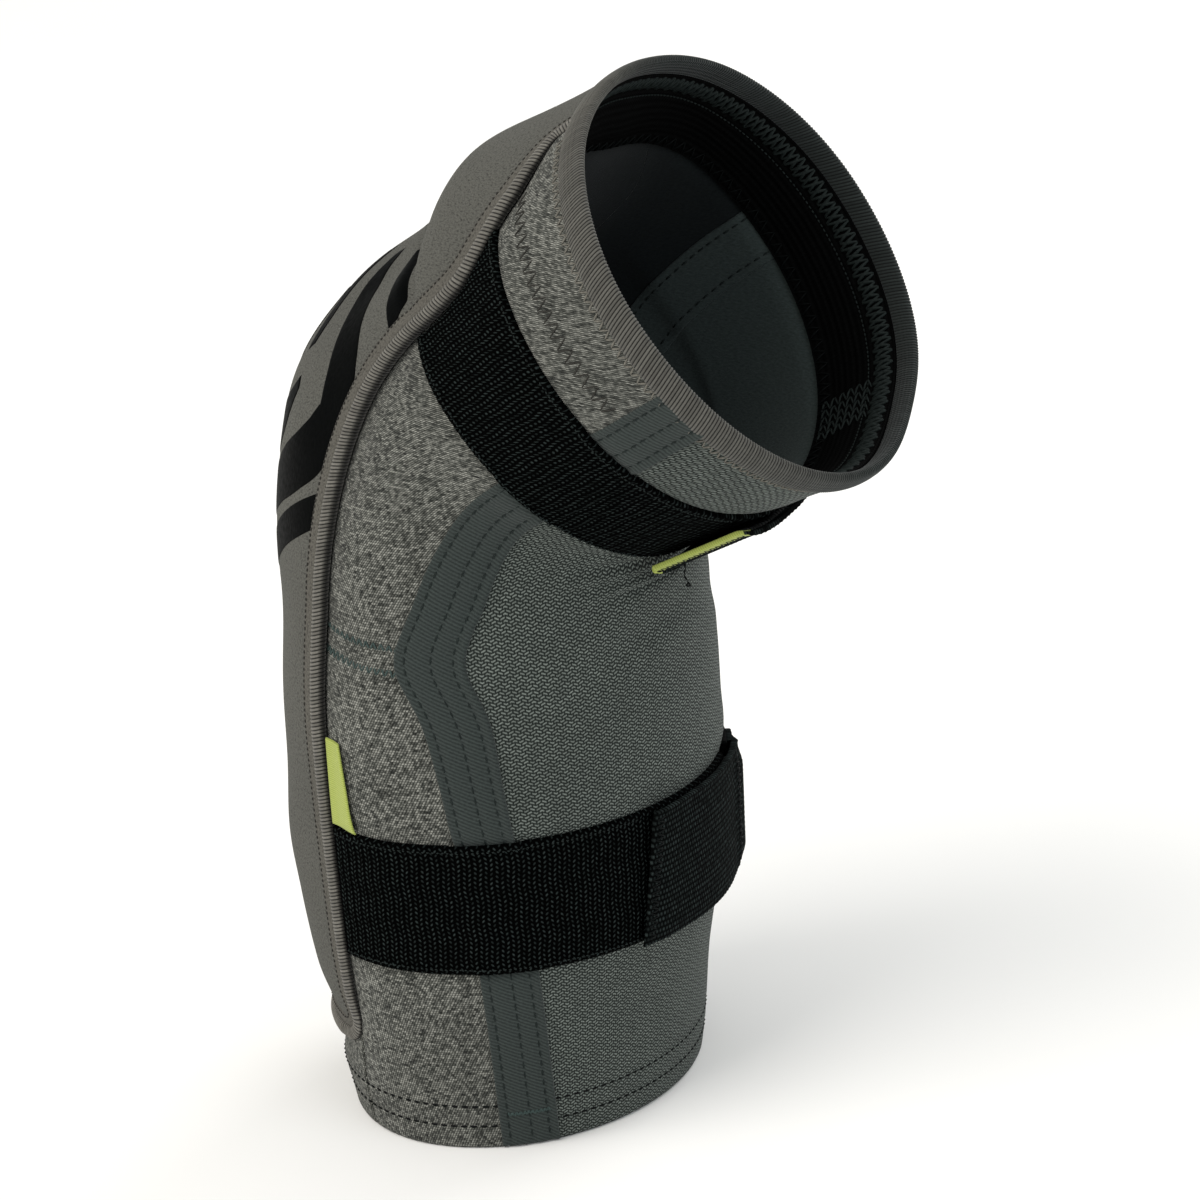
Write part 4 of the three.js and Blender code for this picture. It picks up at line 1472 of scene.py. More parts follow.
class PadForm:
    """The pad's worn face: the outline, swollen by its foam between the places where it is sewn."""

    columns = 25
    rows = 45
    cap = 1.1
    frames = 20
    pressure = 4.0
    stiffness = 18.0
    crease_run = 174.8
    crease_depth = 2.0
    step_height = 1.5
    edge_dip = 0.5
    foot_drop = 1.3
    dome_drop = 2.2
    under_outline = 0.6
    fullness = (Bell(1.4, 64.0, 13.0), Bell(-1.5, 117.0, 16.0), Bell(2.0, 152.0, 10.0))
    saddle = (Bell(-2.6, 171.0, 7.0), Bell(0.7, 190.0, 8.0))

    def __init__(self) -> None:
        self.runs = np.linspace(FORM.pad_bottom, FORM.panel_end, self.rows)
        self.shares = np.linspace(-1.0, 1.0, self.columns)
        self.swollen = self.inflate()

    def inflate(self) -> Array:
        """Simulates the pad as a closed cloth bag that foam presses out, held where it is sewn.

        The bag is the pad's cover and its back on a coarse grid. Its edge, its back and its crease are
        pinned, and pressure lifts the rest for 20 frames with no gravity. What is kept is how far each
        point of the cover moved out, up to the cap.

        Returns:
            The swelling in millimetres on the grid of runs and shares.
        """
        run = np.repeat(self.runs[:, None], self.columns, axis=1)
        angle = FORM.pad_half(self.runs)[:, None] * self.shares[None]
        top = FORM.place(run, angle, FORM.outline(run, angle) - 0.8)
        back = FORM.place(run, angle, FORM.sleeve(run, angle) + 0.3)
        uv = np.zeros((self.rows, self.columns, 2))
        bag = closed_sheet("pad_bag", top, back, uv, [])
        held = np.zeros((2, self.rows, self.columns), bool)
        held[1] = True
        held[0, [0, -1]] = True
        held[0][:, [0, -1]] = True
        held[0, np.argmin(np.abs(self.runs - self.crease_run))] = True
        group = bag.vertex_groups.new(name="sewn")
        group.add(np.flatnonzero(held.reshape(-1)).tolist(), 1.0, "REPLACE")
        cloth = bag.modifiers.new("foam_pressure", "CLOTH")
        settings = cloth.settings
        settings.quality = 6
        settings.mass = 0.3
        settings.use_pressure = True
        settings.uniform_pressure_force = self.pressure
        settings.tension_stiffness = self.stiffness
        settings.compression_stiffness = self.stiffness
        settings.bending_stiffness = 1.5
        settings.vertex_group_mass = group.name
        settings.effector_weights.gravity = 0.0
        scene = bpy.context.scene
        cloth.point_cache.frame_start, cloth.point_cache.frame_end = 1, self.frames
        for number in range(1, self.frames + 1):
            scene.frame_set(number)
        shown = bag.evaluated_get(bpy.context.evaluated_depsgraph_get()).to_mesh()
        after = np.zeros(len(shown.vertices) * 3)
        shown.vertices.foreach_get("co", after)
        after = after.reshape(2, self.rows, self.columns, 3)[0]
        out = FORM.place(run, angle, FORM.outline(run, angle) + 1.0) - FORM.place(
            run, angle, FORM.outline(run, angle)
        )
        moved = ((after - top) * out).sum(-1) / np.linalg.norm(out, axis=-1) / MM
        scene.frame_set(1)
        bpy.data.objects.remove(bag)
        LOG.info("pad swelled by up to %.2f mm", moved.max())
        return self.cap * np.tanh(np.clip(moved, 0.0, None) / self.cap)

    def swelling(self, run: Array, share: Array) -> Array:
        """The swelling anywhere, from the grid by Catmull-Rom curves both ways."""
        i = np.clip((run - self.runs[0]) / (self.runs[1] - self.runs[0]), 0, self.rows - 1.001)
        j = np.clip((share + 1) / (self.shares[1] - self.shares[0]), 0, self.columns - 1.001)
        rows, row_weights = self.spline(i, self.rows)
        columns, column_weights = self.spline(j, self.columns)
        total = 0.0
        for a in range(4):
            for b in range(4):
                total = total + self.swollen[rows[a], columns[b]] * row_weights[a] * column_weights[b]
        return np.maximum(total, 0.0)

    @staticmethod
    def spline(at: Array, count: int) -> tuple[list, list]:
        """The four grid lines about a place and their Catmull-Rom weights."""
        base = np.floor(at).astype(int)
        t = at - base
        lines = [np.clip(base + k, 0, count - 1) for k in (-1, 0, 1, 2)]
        weights = [
            (-t + 2 * t**2 - t**3) / 2,
            (2 - 5 * t**2 + 3 * t**3) / 2,
            (t + 4 * t**2 - 3 * t**3) / 2,
            (-(t**2) + t**3) / 2,
        ]
        return lines, weights

    def face(self, run: Array, angle: Array) -> Array:
        """The cover's radius: the outline and the swelling, with the crease across the arm.

        Above the crease the upper cushion steps out. Beside the edge the cover dips to its binding.
        """
        run, angle = np.broadcast_arrays(np.asarray(run, float), np.asarray(angle, float))
        half = FORM.pad_half(np.clip(run, FORM.pad_bottom, FORM.length))
        signed = np.mod(angle + 180.0, 360.0) - 180.0
        share = np.clip(signed / np.maximum(half, 1e-3), -1.0, 1.0)
        inside = np.radians(half * (1 - np.abs(share))) * UV_RADIUS
        radius = FORM.outline(run, angle) + self.swelling(run, share)
        notch = self.crease_depth * bump(run, self.crease_run, 1.2) * smooth(inside, 0.0, 8.0)
        step = smooth(run, self.crease_run, self.crease_run + 4.5)
        proud = self.step_height * step * (1 - smooth(run, 188.0, 216.0)) * smooth(inside, 1.0, 12.0)
        dip = self.edge_dip * (1 - smooth(inside, 0.0, 3.2))
        foot = self.foot_drop * (1 - smooth(run, FORM.pad_bottom, FORM.pad_bottom + 12.0))
        dome = self.dome_drop * window(run, 158.0, self.crease_run, 14.0) * smooth(inside, 2.0, 26.0)
        radius = radius + rises(self.fullness, run) * smooth(inside, 2.0, 20.0)
        radius = radius + rises(self.saddle, run) * smooth(inside, 8.0, 26.0)
        return radius - self.under_outline - notch + proud - dip - foot - dome


@dataclass(frozen=True)
class PrintedBand:
    """One printed sweep on the pad: its middle as (run, angle) points, and its width at each."""

    name: str
    middle: tuple
    widths: tuple


@dataclass
class ElbowPad:
    """The padded elbow: the foams, the cover and the printed sweeps."""

    finishes: Finishes
    form: PadForm
    bands: tuple = (
        PrintedBand(
            "top", ((173.8, 28), (173.0, 36), (172.6, 44), (172.2, 50), (170.8, 55.5)),
            (1.2, 2.6, 3.4, 4.2, 2.0),
        ),
        PrintedBand(
            "main",
            ((169.0, 18), (166.3, 24), (163.8, 33), (161.3, 42), (158.0, 50), (153.0, 55.5), (147.5, 54.5),
             (142.5, 49), (138, 40), (133.5, 29), (129.5, 17), (127, 7)),
            (1.6, 3.2, 5.0, 7.0, 9.0, 10.4, 11.0, 9.4, 8.0, 6.6, 5.2, 2.4),
        ),
        PrintedBand(
            "lower", ((138.6, 63.5), (134.8, 55), (131.2, 46), (126.5, 33), (122.5, 20), (120, 8)),
            (5.6, 5.4, 5.0, 4.6, 3.8, 1.8),
        ),
        PrintedBand("upper", ((166, 8), (161.5, 14.5), (157, 21), (152.8, 26)), (1.8, 3.4, 4.0, 2.6)),
        PrintedBand(
            "inner", ((149.8, 34), (146.2, 32.5), (142, 27), (138.5, 19), (135.5, 10), (134, 4)),
            (3.0, 5.4, 6.2, 5.4, 4.4, 1.8),
        ),
        PrintedBand(
            "small", ((158, 9), (153.5, 12.5), (149, 13), (145.5, 8.5), (143.5, 4)),
            (1.4, 3.0, 3.6, 3.0, 1.6),
        ),
    )

    def cover(self) -> None:
        """Makes the cover: a closed skin over the foam that swells between its seams."""
        form = self.form
        runs = spread(FORM.pad_bottom, FORM.panel_end, 1.25, 1.0)
        shares = np.sin(np.linspace(-0.5, 0.5, 121) * np.pi * 0.94) / math.sin(0.47 * math.pi)
        run = np.repeat(runs[:, None], len(shares), axis=1)
        angle = FORM.pad_half(runs)[:, None] * shares[None]
        face = form.face(run, angle)
        back = np.minimum(FORM.skin(run, angle) + 0.15, face - 0.4)
        uv = np.stack([np.radians(angle) * UV_RADIUS, FORM.woven(run, angle)], axis=-1)
        piece = closed_sheet(
            "pad_cover", FORM.place(run, angle, face), FORM.place(run, angle, back), uv,
            [self.finishes.cover, self.finishes.lining],
        )
        settle(piece, Body.BENDS, [f"pad_cover_{part}" for part in STRETCHES])

    def foams(self) -> None:
        """Makes the three foams under the cover, with rounded edges."""
        share = 0.76  # of the pad's width
        spans = {
            "pad_foam_forearm": (26.0, 108.0),
            "elbow_cup_foam": (113.0, 153.0),
            "pad_foam_upper_arm": (181.0, 209.0),
        }
        for name, (low, high) in spans.items():
            piece = Patch(
                f"{name}_block", low, high,
                lambda run: -FORM.pad_edge(run) * share, lambda run: FORM.pad_edge(run) * share,
                raised(self.form.face, -1.9), 1.0, 2.4, 3.0, floor=raised(FORM.skin, 0.6),
            ).build([self.finishes.foam])
            settle(piece, Body.BENDS, [name])

    def sweeps(self) -> None:
        """Makes the printed sweeps on both sides: thin raised ink, laid along smooth middles."""
        fine = 90
        for side in Side:
            for band in self.bands:
                points = np.array(band.middle, float)
                widths = np.array(band.widths, float)
                length = np.concatenate([[0], np.cumsum(np.hypot(
                    np.diff(points[:, 0]), np.radians(np.diff(points[:, 1])) * UV_RADIUS))])
                along = np.linspace(0, length[-1], fine)
                run = self.through(length, points[:, 0], along)
                angle = self.through(length, points[:, 1], along)
                width = self.through(length, widths, along)
                round_mm = np.radians(angle) * UV_RADIUS
                d_run, d_round = np.gradient(run), np.gradient(round_mm)
                size = np.hypot(d_run, d_round)
                normal_run, normal_round = -d_round / size, d_run / size
                cross = spread(-0.5, 0.5, 0.07, 0.04)
                runs = run[:, None] + normal_run[:, None] * cross[None] * width[:, None]
                rounds = round_mm[:, None] + normal_round[:, None] * cross[None] * width[:, None]
                angles = np.degrees(rounds / UV_RADIUS)
                limit = FORM.pad_half(runs) - 0.5
                angles = np.clip(angles, 0.3, limit) * side.value
                edge = np.sqrt(np.clip(1 - (2 * np.abs(cross)) ** 12, 0, 1))[None]
                ends = np.clip(np.minimum(along, length[-1] - along)[:, None] / 0.5, 0, 1)
                face = self.form.face(runs, angles)
                top = face + 0.04 + 0.12 * edge * np.sqrt(ends)
                uv = np.stack([angles * math.radians(1) * UV_RADIUS, runs], axis=-1)
                piece = closed_sheet(
                    f"pad_print_{band.name}_{side.where}",
                    FORM.place(runs, angles, top), FORM.place(runs, angles, face - 0.25), uv,
                    [self.finishes.gloss],
                )
                settle(piece, Body.BENDS)

    @staticmethod
    def through(knots: Array, values: Array, at: Array) -> Array:
        """A smooth curve through values at knots: Catmull-Rom slopes on cubic stretches."""
        slopes = np.gradient(values, knots)
        i = np.clip(np.searchsorted(knots, at) - 1, 0, len(knots) - 2)
        h = knots[i + 1] - knots[i]
        t = (at - knots[i]) / h
        a = values[i] * (1 + 2 * t) * (1 - t) ** 2 + values[i + 1] * t * t * (3 - 2 * t)
        return a + h * (slopes[i] * t * (1 - t) ** 2 - slopes[i + 1] * t * t * (1 - t))

    def build(self) -> None:
        """Builds the foams, the cover and its print."""
        self.foams()
        self.cover()
        self.sweeps()


@dataclass
class PadBinding:
    """The rolled binding round the pad: a cord wrapped by overlock threads, with a sewn flange inside it."""

    finishes: Finishes
    form: PadForm
    width: float = 3.3
    pitch: float = 0.85
    per_thread: int = 4
    around: int = 16
    flange: float = 2.8
    proud: float = 1.35
    slant: float = 0.55
    ridge: float = 0.32

    def path(self, step: float) -> tuple[Array, Array]:
        """The pad's edge as one line: down the label side, round both corners and up the plain side.

        Args:
            step: the spacing of its points in millimetres.

        Returns:
            The runs and angles, evenly spaced along it.
        """
        top, bottom, corner = FORM.panel_end, FORM.pad_bottom, FORM.pad_corner
        down = np.linspace(top, bottom + corner, 400)
        turn_in = np.linspace(0, np.pi / 2, 60)[1:]
        edge = FORM.pad_edge(bottom + corner * (1 - np.sin(turn_in)))
        corner_run = bottom + corner * (1 - np.sin(turn_in))
        corner_angle = edge - FORM.degrees(corner * (1 - np.cos(turn_in)), corner_run, PAD_EDGE_AT)
        half_run = np.concatenate([down, corner_run])
        half_angle = np.concatenate([FORM.pad_edge(down), corner_angle])
        across = np.linspace(half_angle[-1], 0.0, 120)[1:]
        run = np.concatenate([half_run, np.full(len(across), bottom)])
        angle = np.concatenate([half_angle, across])
        run = np.concatenate([run, run[-2::-1]])
        angle = np.concatenate([angle, -angle[-2::-1]])
        return evenly(FORM.outline, run, angle, step)

    def beside(self, run: Array, angle: Array) -> tuple[Array, Array]:
        """For each point of the edge, the direction away from the pad, as millimetres of run and round."""
        round_mm = np.radians(angle) * UV_RADIUS
        d_run, d_round = np.gradient(run), np.gradient(round_mm)
        size = np.hypot(d_run, d_round)
        return d_round / size, -d_run / size

    def bead(self) -> None:
        """Makes the rolled edge.

        Its section is a flattened ring from the cover's edge down to the knit, and each thread is a
        ridge that crosses it on a slant: half a sine wave high, once every pitch.
        """
        run, angle = self.path(self.pitch / self.per_thread)
        run_out, round_out = self.beside(run, angle)
        phase = np.linspace(0, 2 * np.pi, self.around, endpoint=False)
        steps = np.arange(len(run)) / self.per_thread
        offset = self.width / 2 * (1 - 0.08) * (1 + np.cos(phase)) - 0.1
        runs = run[:, None] + run_out[:, None] * offset[None]
        angles = angle[:, None] + np.degrees(round_out[:, None] * offset[None] / UV_RADIUS)
        high = self.form.face(run, angle) + self.proud
        low = FORM.skin(runs[:, 0], angles[:, 0]) - 0.3
        middle = (high + low) / 2
        tall = (high - low) / 2
        level = middle[:, None] + tall[:, None] * np.sin(phase)[None]
        knit = FORM.skin(runs, angles) - 0.2
        level = np.where(np.sin(phase)[None] < 0, np.maximum(level, knit), level)
        count = steps[:, None] + self.slant * np.cos(phase)[None]
        ridge = np.abs(np.sin(np.pi * count)) * self.ridge - 0.1
        ridge = ridge * np.clip(np.sin(phase) + 0.4, 0, 1)[None]
        rings = FORM.place(runs, angles, level)
        centre = FORM.place(
            run + run_out * self.width / 2,
            angle + np.degrees(round_out * self.width / 2 / UV_RADIUS),
            middle - 0.5,
        )
        away = rings - centre[:, None]
        away /= np.linalg.norm(away, axis=-1, keepdims=True)
        rings = rings + away * ridge[..., None] * MM
        wrapped = np.append(phase, 2 * np.pi)
        uv = np.stack([
            steps[:, None] + self.slant * np.cos(wrapped)[None],
            np.broadcast_to((0.5 + 0.5 * np.cos(wrapped))[None], (len(run), self.around + 1)),
        ], axis=-1)
        piece = swept_tube("pad_binding_roll", rings, uv, [self.finishes.binding])
        nodes = [f"pad_binding_{part}_{side.where}" for part in STRETCHES for side in Side]
        settle(piece, Body.BENDS, [*nodes, "pad_binding_bottom"])

    def inner_flange(self) -> None:
        """Makes the flat allowance beside the bead, and the rows of small stitches that hold it."""
        run, angle = self.path(1.0)
        run_out, round_out = self.beside(run, angle)
        cross = np.array([-1.0, -0.97, -0.85, -0.5, -0.2, 0.1]) * self.flange
        runs = np.maximum(run[:, None] + run_out[:, None] * cross[None], FORM.pad_bottom)
        angles = angle[:, None] + np.degrees(round_out[:, None] * cross[None] / UV_RADIUS)
        rise = np.array([-0.1, 0.16, 0.3, 0.36, 0.45, 0.6])
        face = self.form.face(runs, angles)
        uv = np.stack([
            np.broadcast_to(np.arange(len(run))[:, None], runs.shape),
            np.broadcast_to(cross[None], runs.shape),
        ], axis=-1)
        piece = closed_sheet(
            "pad_binding_flange", FORM.place(runs, angles, face + rise), FORM.place(runs, angles, face - 0.3),
            uv, [self.finishes.flange],
        )
        settle(piece, Body.BENDS)
        small = Seam(1.3, 0.75, 0.45, 0.4)
        back = self.flange - 0.4
        row_run = run - run_out * back
        row_angle = angle - np.degrees(round_out * back / UV_RADIUS)
        keep = row_run > FORM.pad_bottom + 0.5
        rows = [small.running(raised(self.form.face, 0.3), row_run[keep], row_angle[keep])]
        sew("pad_binding_stitches", rows, small, self.finishes.shadow_thread, Body.BENDS)

    def build(self) -> None:
        """Builds the bead and the flange."""
        self.bead()
        self.inner_flange()


@dataclass
class Cuff:
    """The upper opening: a rolled rim, a picot band inside it and the gripper elastic below."""

    finishes: Finishes
    pitch: float = 0.75
    per_thread: int = 4
    around: int = 20
    slant: float = 1.5
    ridge: float = 0.24
    half_height: float = 3.3
    outer_cover: float = 0.8
    inner_cover: float = 1.8
    gripper: float = 20.0
    picot: float = 6.5
    outer_row: float = 209.0
    overlap: tuple = (208.0, 211.0, 214.0, 217.0, 220.0)

    def rim(self) -> None:
        """Makes the rim: an upright ring, closed on itself, ridged by overlock threads."""
        middle_angle = np.linspace(0, 360, 721)
        points = FORM.place(FORM.panel_end + 2.0, middle_angle, FORM.outline(FORM.panel_end, middle_angle))
        total = np.linalg.norm(np.diff(points, axis=0), axis=1).sum() / MM
        count = int(total / self.pitch)
        columns = count * self.per_thread
        angle = np.linspace(0, 360, columns, endpoint=False)
        phase = np.linspace(0, 2 * np.pi, self.around, endpoint=False)
        at = np.full(columns, FORM.panel_end + 1.0)
        outside = FORM.skin(at, angle) + self.outer_cover
        inside = FORM.skin(at, angle) - self.inner_cover
        middle, half = (outside + inside) / 2, (outside - inside) / 2
        steps = np.arange(columns) / self.per_thread
        slant = self.slant * np.sin(phase)
        ridge = np.abs(np.sin(np.pi * (steps[:, None] + slant[None]))) * self.ridge - 0.1
        c, s = np.cos(phase), np.sin(phase)
        plump = np.sign(c) * np.abs(c) ** 0.8
        radius = middle[:, None] + (half[:, None] + ridge) * plump[None]
        run = FORM.panel_end + 1.5 + (self.half_height + ridge) * s[None]
        rings = FORM.place(run, angle[:, None], radius)
        wrapped = np.append(phase, 2 * np.pi)
        count_u = np.arange(columns + 1)[:, None] / self.per_thread
        count_u = count_u + self.slant * np.sin(wrapped)[None]
        # Painted shade: the thread turns to the rim's darker colour on the far side of the cuff, away from
        # angle 75, which faces the key light.
        far = 0.5 - 0.5 * np.cos(np.radians(np.append(angle, 360.0) - 75.0))
        yarn = 0.84 * smooth(far, 0.1, 0.6)[:, None]
        uv = np.stack([count_u, np.broadcast_to(yarn, count_u.shape)], axis=-1)
        piece = swept_tube("cuff_rim_roll", rings, uv, [self.finishes.rim], ring=True)
        settle(piece, Body.UPPER_ARM, ["cuff_rim_binding"])

    def bands(self) -> None:
        """Makes the gripper elastic with its silicone lines, and the picot band above it."""
        top, low = FORM.panel_end, FORM.panel_end - self.gripper

        def lines(run: Array) -> Array:
            """Three raised silicone lines round the arm, on the inner face."""
            return sum(bump(run, low + k, 0.5) for k in (5.0, 8.0, 11.0))

        runs = spread(low, top, 0.5, 0.6)
        angle = np.linspace(0, 360, 361)[:-1]
        run = np.repeat(runs[:, None], len(angle), axis=1)
        around = np.repeat(angle[None], len(runs), axis=0)
        outer = FORM.skin(run, around) - 1.5
        inner = outer - 0.9 - 0.14 * lines(run)
        wrapped = np.append(angle, 360.0)
        uv = np.stack(np.broadcast_arrays(np.radians(wrapped)[None] * UV_RADIUS, runs[:, None]), axis=-1)
        band = closed_sheet(
            "gripper_elastic", FORM.place(run, around, outer), FORM.place(run, around, inner), uv,
            [self.finishes.gripper], ring=True,
        )
        settle(band, Body.UPPER_ARM, ["cuff_gripper_band"])
        inside = raised(FORM.skin, -2.6)
        angle = np.linspace(0, 360, 700)
        lace = Seam(3.3, 1.0, 0.95, 0.9)
        middle = np.full_like(angle, top - 2.9)
        rows = []
        for reach, shift in ((2.9, 0.0), (2.3, 1.9)):
            rows.append(turned_in(lace.zigzag(inside, middle, angle + shift, reach)))
        sew("cuff_picot_band", rows, lace, self.finishes.lace_thread, Body.UPPER_ARM)
        fine = Seam(1.2, 0.8, 0.4, 0.4)
        rows = [turned_in(fine.running(inside, np.full_like(angle, top - self.picot), angle))]
        sew("cuff_picot_edge", rows, fine, self.finishes.lace_thread, Body.UPPER_ARM)
        zig = Seam(3.0, 1.0, 0.42, 0.45)
        rows = [turned_in(zig.zigzag(inside, np.full_like(angle, low + 1.6), angle, 1.7))]
        sew("gripper_zigzag_inside", rows, zig, self.finishes.dark_thread, Body.UPPER_ARM)
        rows = []
        cross = Seam(2.3, 1.0, 0.5, 0.6)
        for at in self.overlap:
            run = np.linspace(low + 1.0, top - 5.5, 60)
            rows.append(turned_in(cross.zigzag(inside, run, np.full_like(run, at), 1.7)))
        sew("gripper_overlap_stitches", rows, cross, self.finishes.lace_thread, Body.UPPER_ARM)
        rows = []
        for side in Side:
            at = np.array(self.outer_row)
            first = float(FORM.pad_edge(at)) + 8.0
            last = side.value * float(FORM.tape(at, side.value)) - 9.0
            angle = np.linspace(first, last, 150)
            rows.append(zig.zigzag(FORM.skin, np.full_like(angle, self.outer_row), angle * side.value, 1.9))
        # The outer zigzag is real stitching, whose charcoal thread also paints the shade along its line.
        sew(
            "gripper_zigzag_outside", rows, zig, self.finishes.shadow_thread, Body.UPPER_ARM,
        )
        legs = Seam(2.2, 1.0, 0.5, 0.45)
        rows = [legs.zigzag(raised(FORM.skin, 0.05), *self.outer_line(FORM.panel_end - 2.6), 1.1)]
        sew("rim_overlock_legs", rows, legs, self.finishes.grey_thread, Body.UPPER_ARM)

    @staticmethod
    def outer_line(run: float) -> tuple[Array, Array]:
        """The part of a line round the cuff that isn't under the pad."""
        edge = float(FORM.pad_edge(np.array(run))) + 7.0
        angle = np.linspace(edge, 360.0 - edge, 500)
        return np.full_like(angle, run), angle

    def build(self) -> None:
        """Builds the rim and the bands."""
        self.rim()
        self.bands()


class Level(Enum):
    """The two straps, by the part of the arm that they hold."""

    LOWER = "lower"
    UPPER = "upper"


@dataclass
class Strap:
    """One strap: loop elastic, ribbed elastic, and the hook tab that joins them."""

    finishes: Finishes
    level: Level
    start: float
    width: float
    tip: float
    tip_slope: float
    body: Body
    tab_body: Body
    lime: bool = False
    lift: float = 0.9
    drop: float = 0.0
    thickness: float = 1.3
    hooks: float = 0.7
    gap: float = 0.15
    tab: float = 1.3
    loop_end: float = 200.0
    root: float = 208.0
    hinge: float = 209.2
    rise: float = 1.55

    def under(self, run: Array, angle: Array) -> Array:
        """What the strap rests on: the cloth, and the seam tape where it crosses one."""
        return FORM.skin(run, angle) + 0.12 + 0.6 * window(FORM.from_tape(run, angle), -6.5, 6.5, 2.5)

    def top(self, run: Array, angle: Array) -> Array:
        """The strap's face: its middle is crowned a little, and its two selvedges stand up."""
        edge = self.from_selvedge(run)
        selvedge = 0.22 * bump(edge, 1.1, 0.5) - 0.12 * bump(edge, 2.1, 0.45)
        return self.under(run, angle) + self.thickness + selvedge

    def from_selvedge(self, run: Array) -> Array:
        """How far a run is inside the strap's nearer selvedge."""
        return np.minimum(run - self.start, self.start + self.width - run)

    def tab_floor(self, run: Array, angle: Array) -> Array:
        """The underside of the tab, on its hooks, curling away a little at its free end."""
        lift = self.lift * (1 - smooth(angle - self.tip_line(run), 0.0, 8.0 + 10.0 * self.lift))
        return self.under(run, angle) + self.thickness + self.gap + self.hooks + lift

    def tip_line(self, run: Array) -> Array:
        """The tab's free edge, which is cut a little askew."""
        return self.tip + self.tip_slope * (run - self.start - self.width / 2)

    def clear(self, run: Array) -> Array:
        """The angle where the strap comes out from under the pad's binding."""
        return FORM.pad_edge(run) + FORM.degrees(3.4, run, PAD_EDGE_AT)

    @staticmethod
    def cross_ribs(across: Array, run: Array) -> Array:
        """Ribs across the strap that wave a little: a sine along it, once every pitch."""
        pitch, height, sway = 2.1, 0.16, 0.14
        wave = across + sway * np.sin(run * 2 * np.pi / 9.0)
        return height * np.sin(wave * 2 * np.pi / pitch)

    @staticmethod
    def fine_rows(across: Array, run: Array) -> Array:
        """The webbing's dense rows: a sine along it, broken by its ribs."""
        height, pitch, rib = 0.09, 1.8, 1.25
        return height * np.sin(across * 2 * np.pi / pitch) * np.abs(np.sin(run * np.pi / rib))

    def straps(self) -> None:
        """Makes the loop strap, the elastic strap, the tab's sewn end and the selvedges' stitches."""
        low, high, name = self.start, self.start + self.width, self.level.value
        floor = raised(self.under, -0.1)
        loop = Patch(
            f"{name}_strap_loop", low, high, self.clear, steady(self.loop_end),
            self.top, 1.0, 0.6, 0.6, relief=self.cross_ribs, floor=floor,
        ).build([self.finishes.loop])
        settle(loop, self.body, [f"{name}_loop_strap"])
        elastic = Patch(
            f"{name}_strap_elastic", low, high, steady(self.root), lambda run: 360.0 - self.clear(run),
            self.top, 1.0, 0.8, 0.6, floor=floor,
        ).build([self.finishes.elastic])
        settle(elastic, self.body, [f"{name}_elastic_strap"])
        sewn = Patch(
            f"{name}_tab_sewn_end", low + 0.3, high - 0.3, steady(self.hinge + 0.2), steady(self.root + 10.0),
            self.sewn_top, 1.0, 0.8, 0.3, relief=self.fine_rows, floor=raised(self.top, -0.2),
        ).build([self.finishes.webbing])
        settle(sewn, self.body)
        edge = Seam(1.1, 0.62, 0.38, 0.4)
        rows = []
        for run in (low + 1.3, high - 1.3):
            angle = np.linspace(float(self.clear(np.array(run))) + 1.0, self.tip - 1.0, 200)
            rows.append(edge.running(raised(self.top, 0.05), np.full_like(angle, run), angle))
        sew(f"{name}_strap_selvedges", rows, edge, self.finishes.lace_thread, self.body)

    def fold(self, run: Array) -> Array:
        """How far the webbing's fold stands up to the hinge: less at its two rounded corners."""
        edge = self.from_selvedge(run)
        return self.rise * (0.2 + 0.8 * smooth(edge, 0.0, 6.0))

    def sewn_top(self, run: Array, angle: Array) -> Array:
        """The face of the tab's sewn end, which slopes from the tab's height down onto the elastic."""
        slope = smooth(angle, self.hinge + 0.2, self.hinge + 5.0)
        high = self.thickness + self.gap + self.hooks + self.tab + self.fold(run)
        return self.under(run, angle) + high - slope * (self.hooks + self.gap + self.fold(run))

    def tab_pieces(self) -> None:
        """Makes the tab, its hooks, the stitches at its two ends and its lime end."""
        low, high, name = self.start - self.drop, self.start + self.width, self.level.value

        def tab_top(run: Array, angle: Array) -> Array:
            """The tab's face, which thins to its pressed tip and rises to the fold at its root."""
            pressed = 0.6 * (1 - smooth(angle - self.tip, -1.0, 6.0))
            fold = self.fold(run) * smooth(angle, self.hinge - 9.0, self.hinge)
            return self.tab_floor(run, angle) + self.tab - pressed + fold

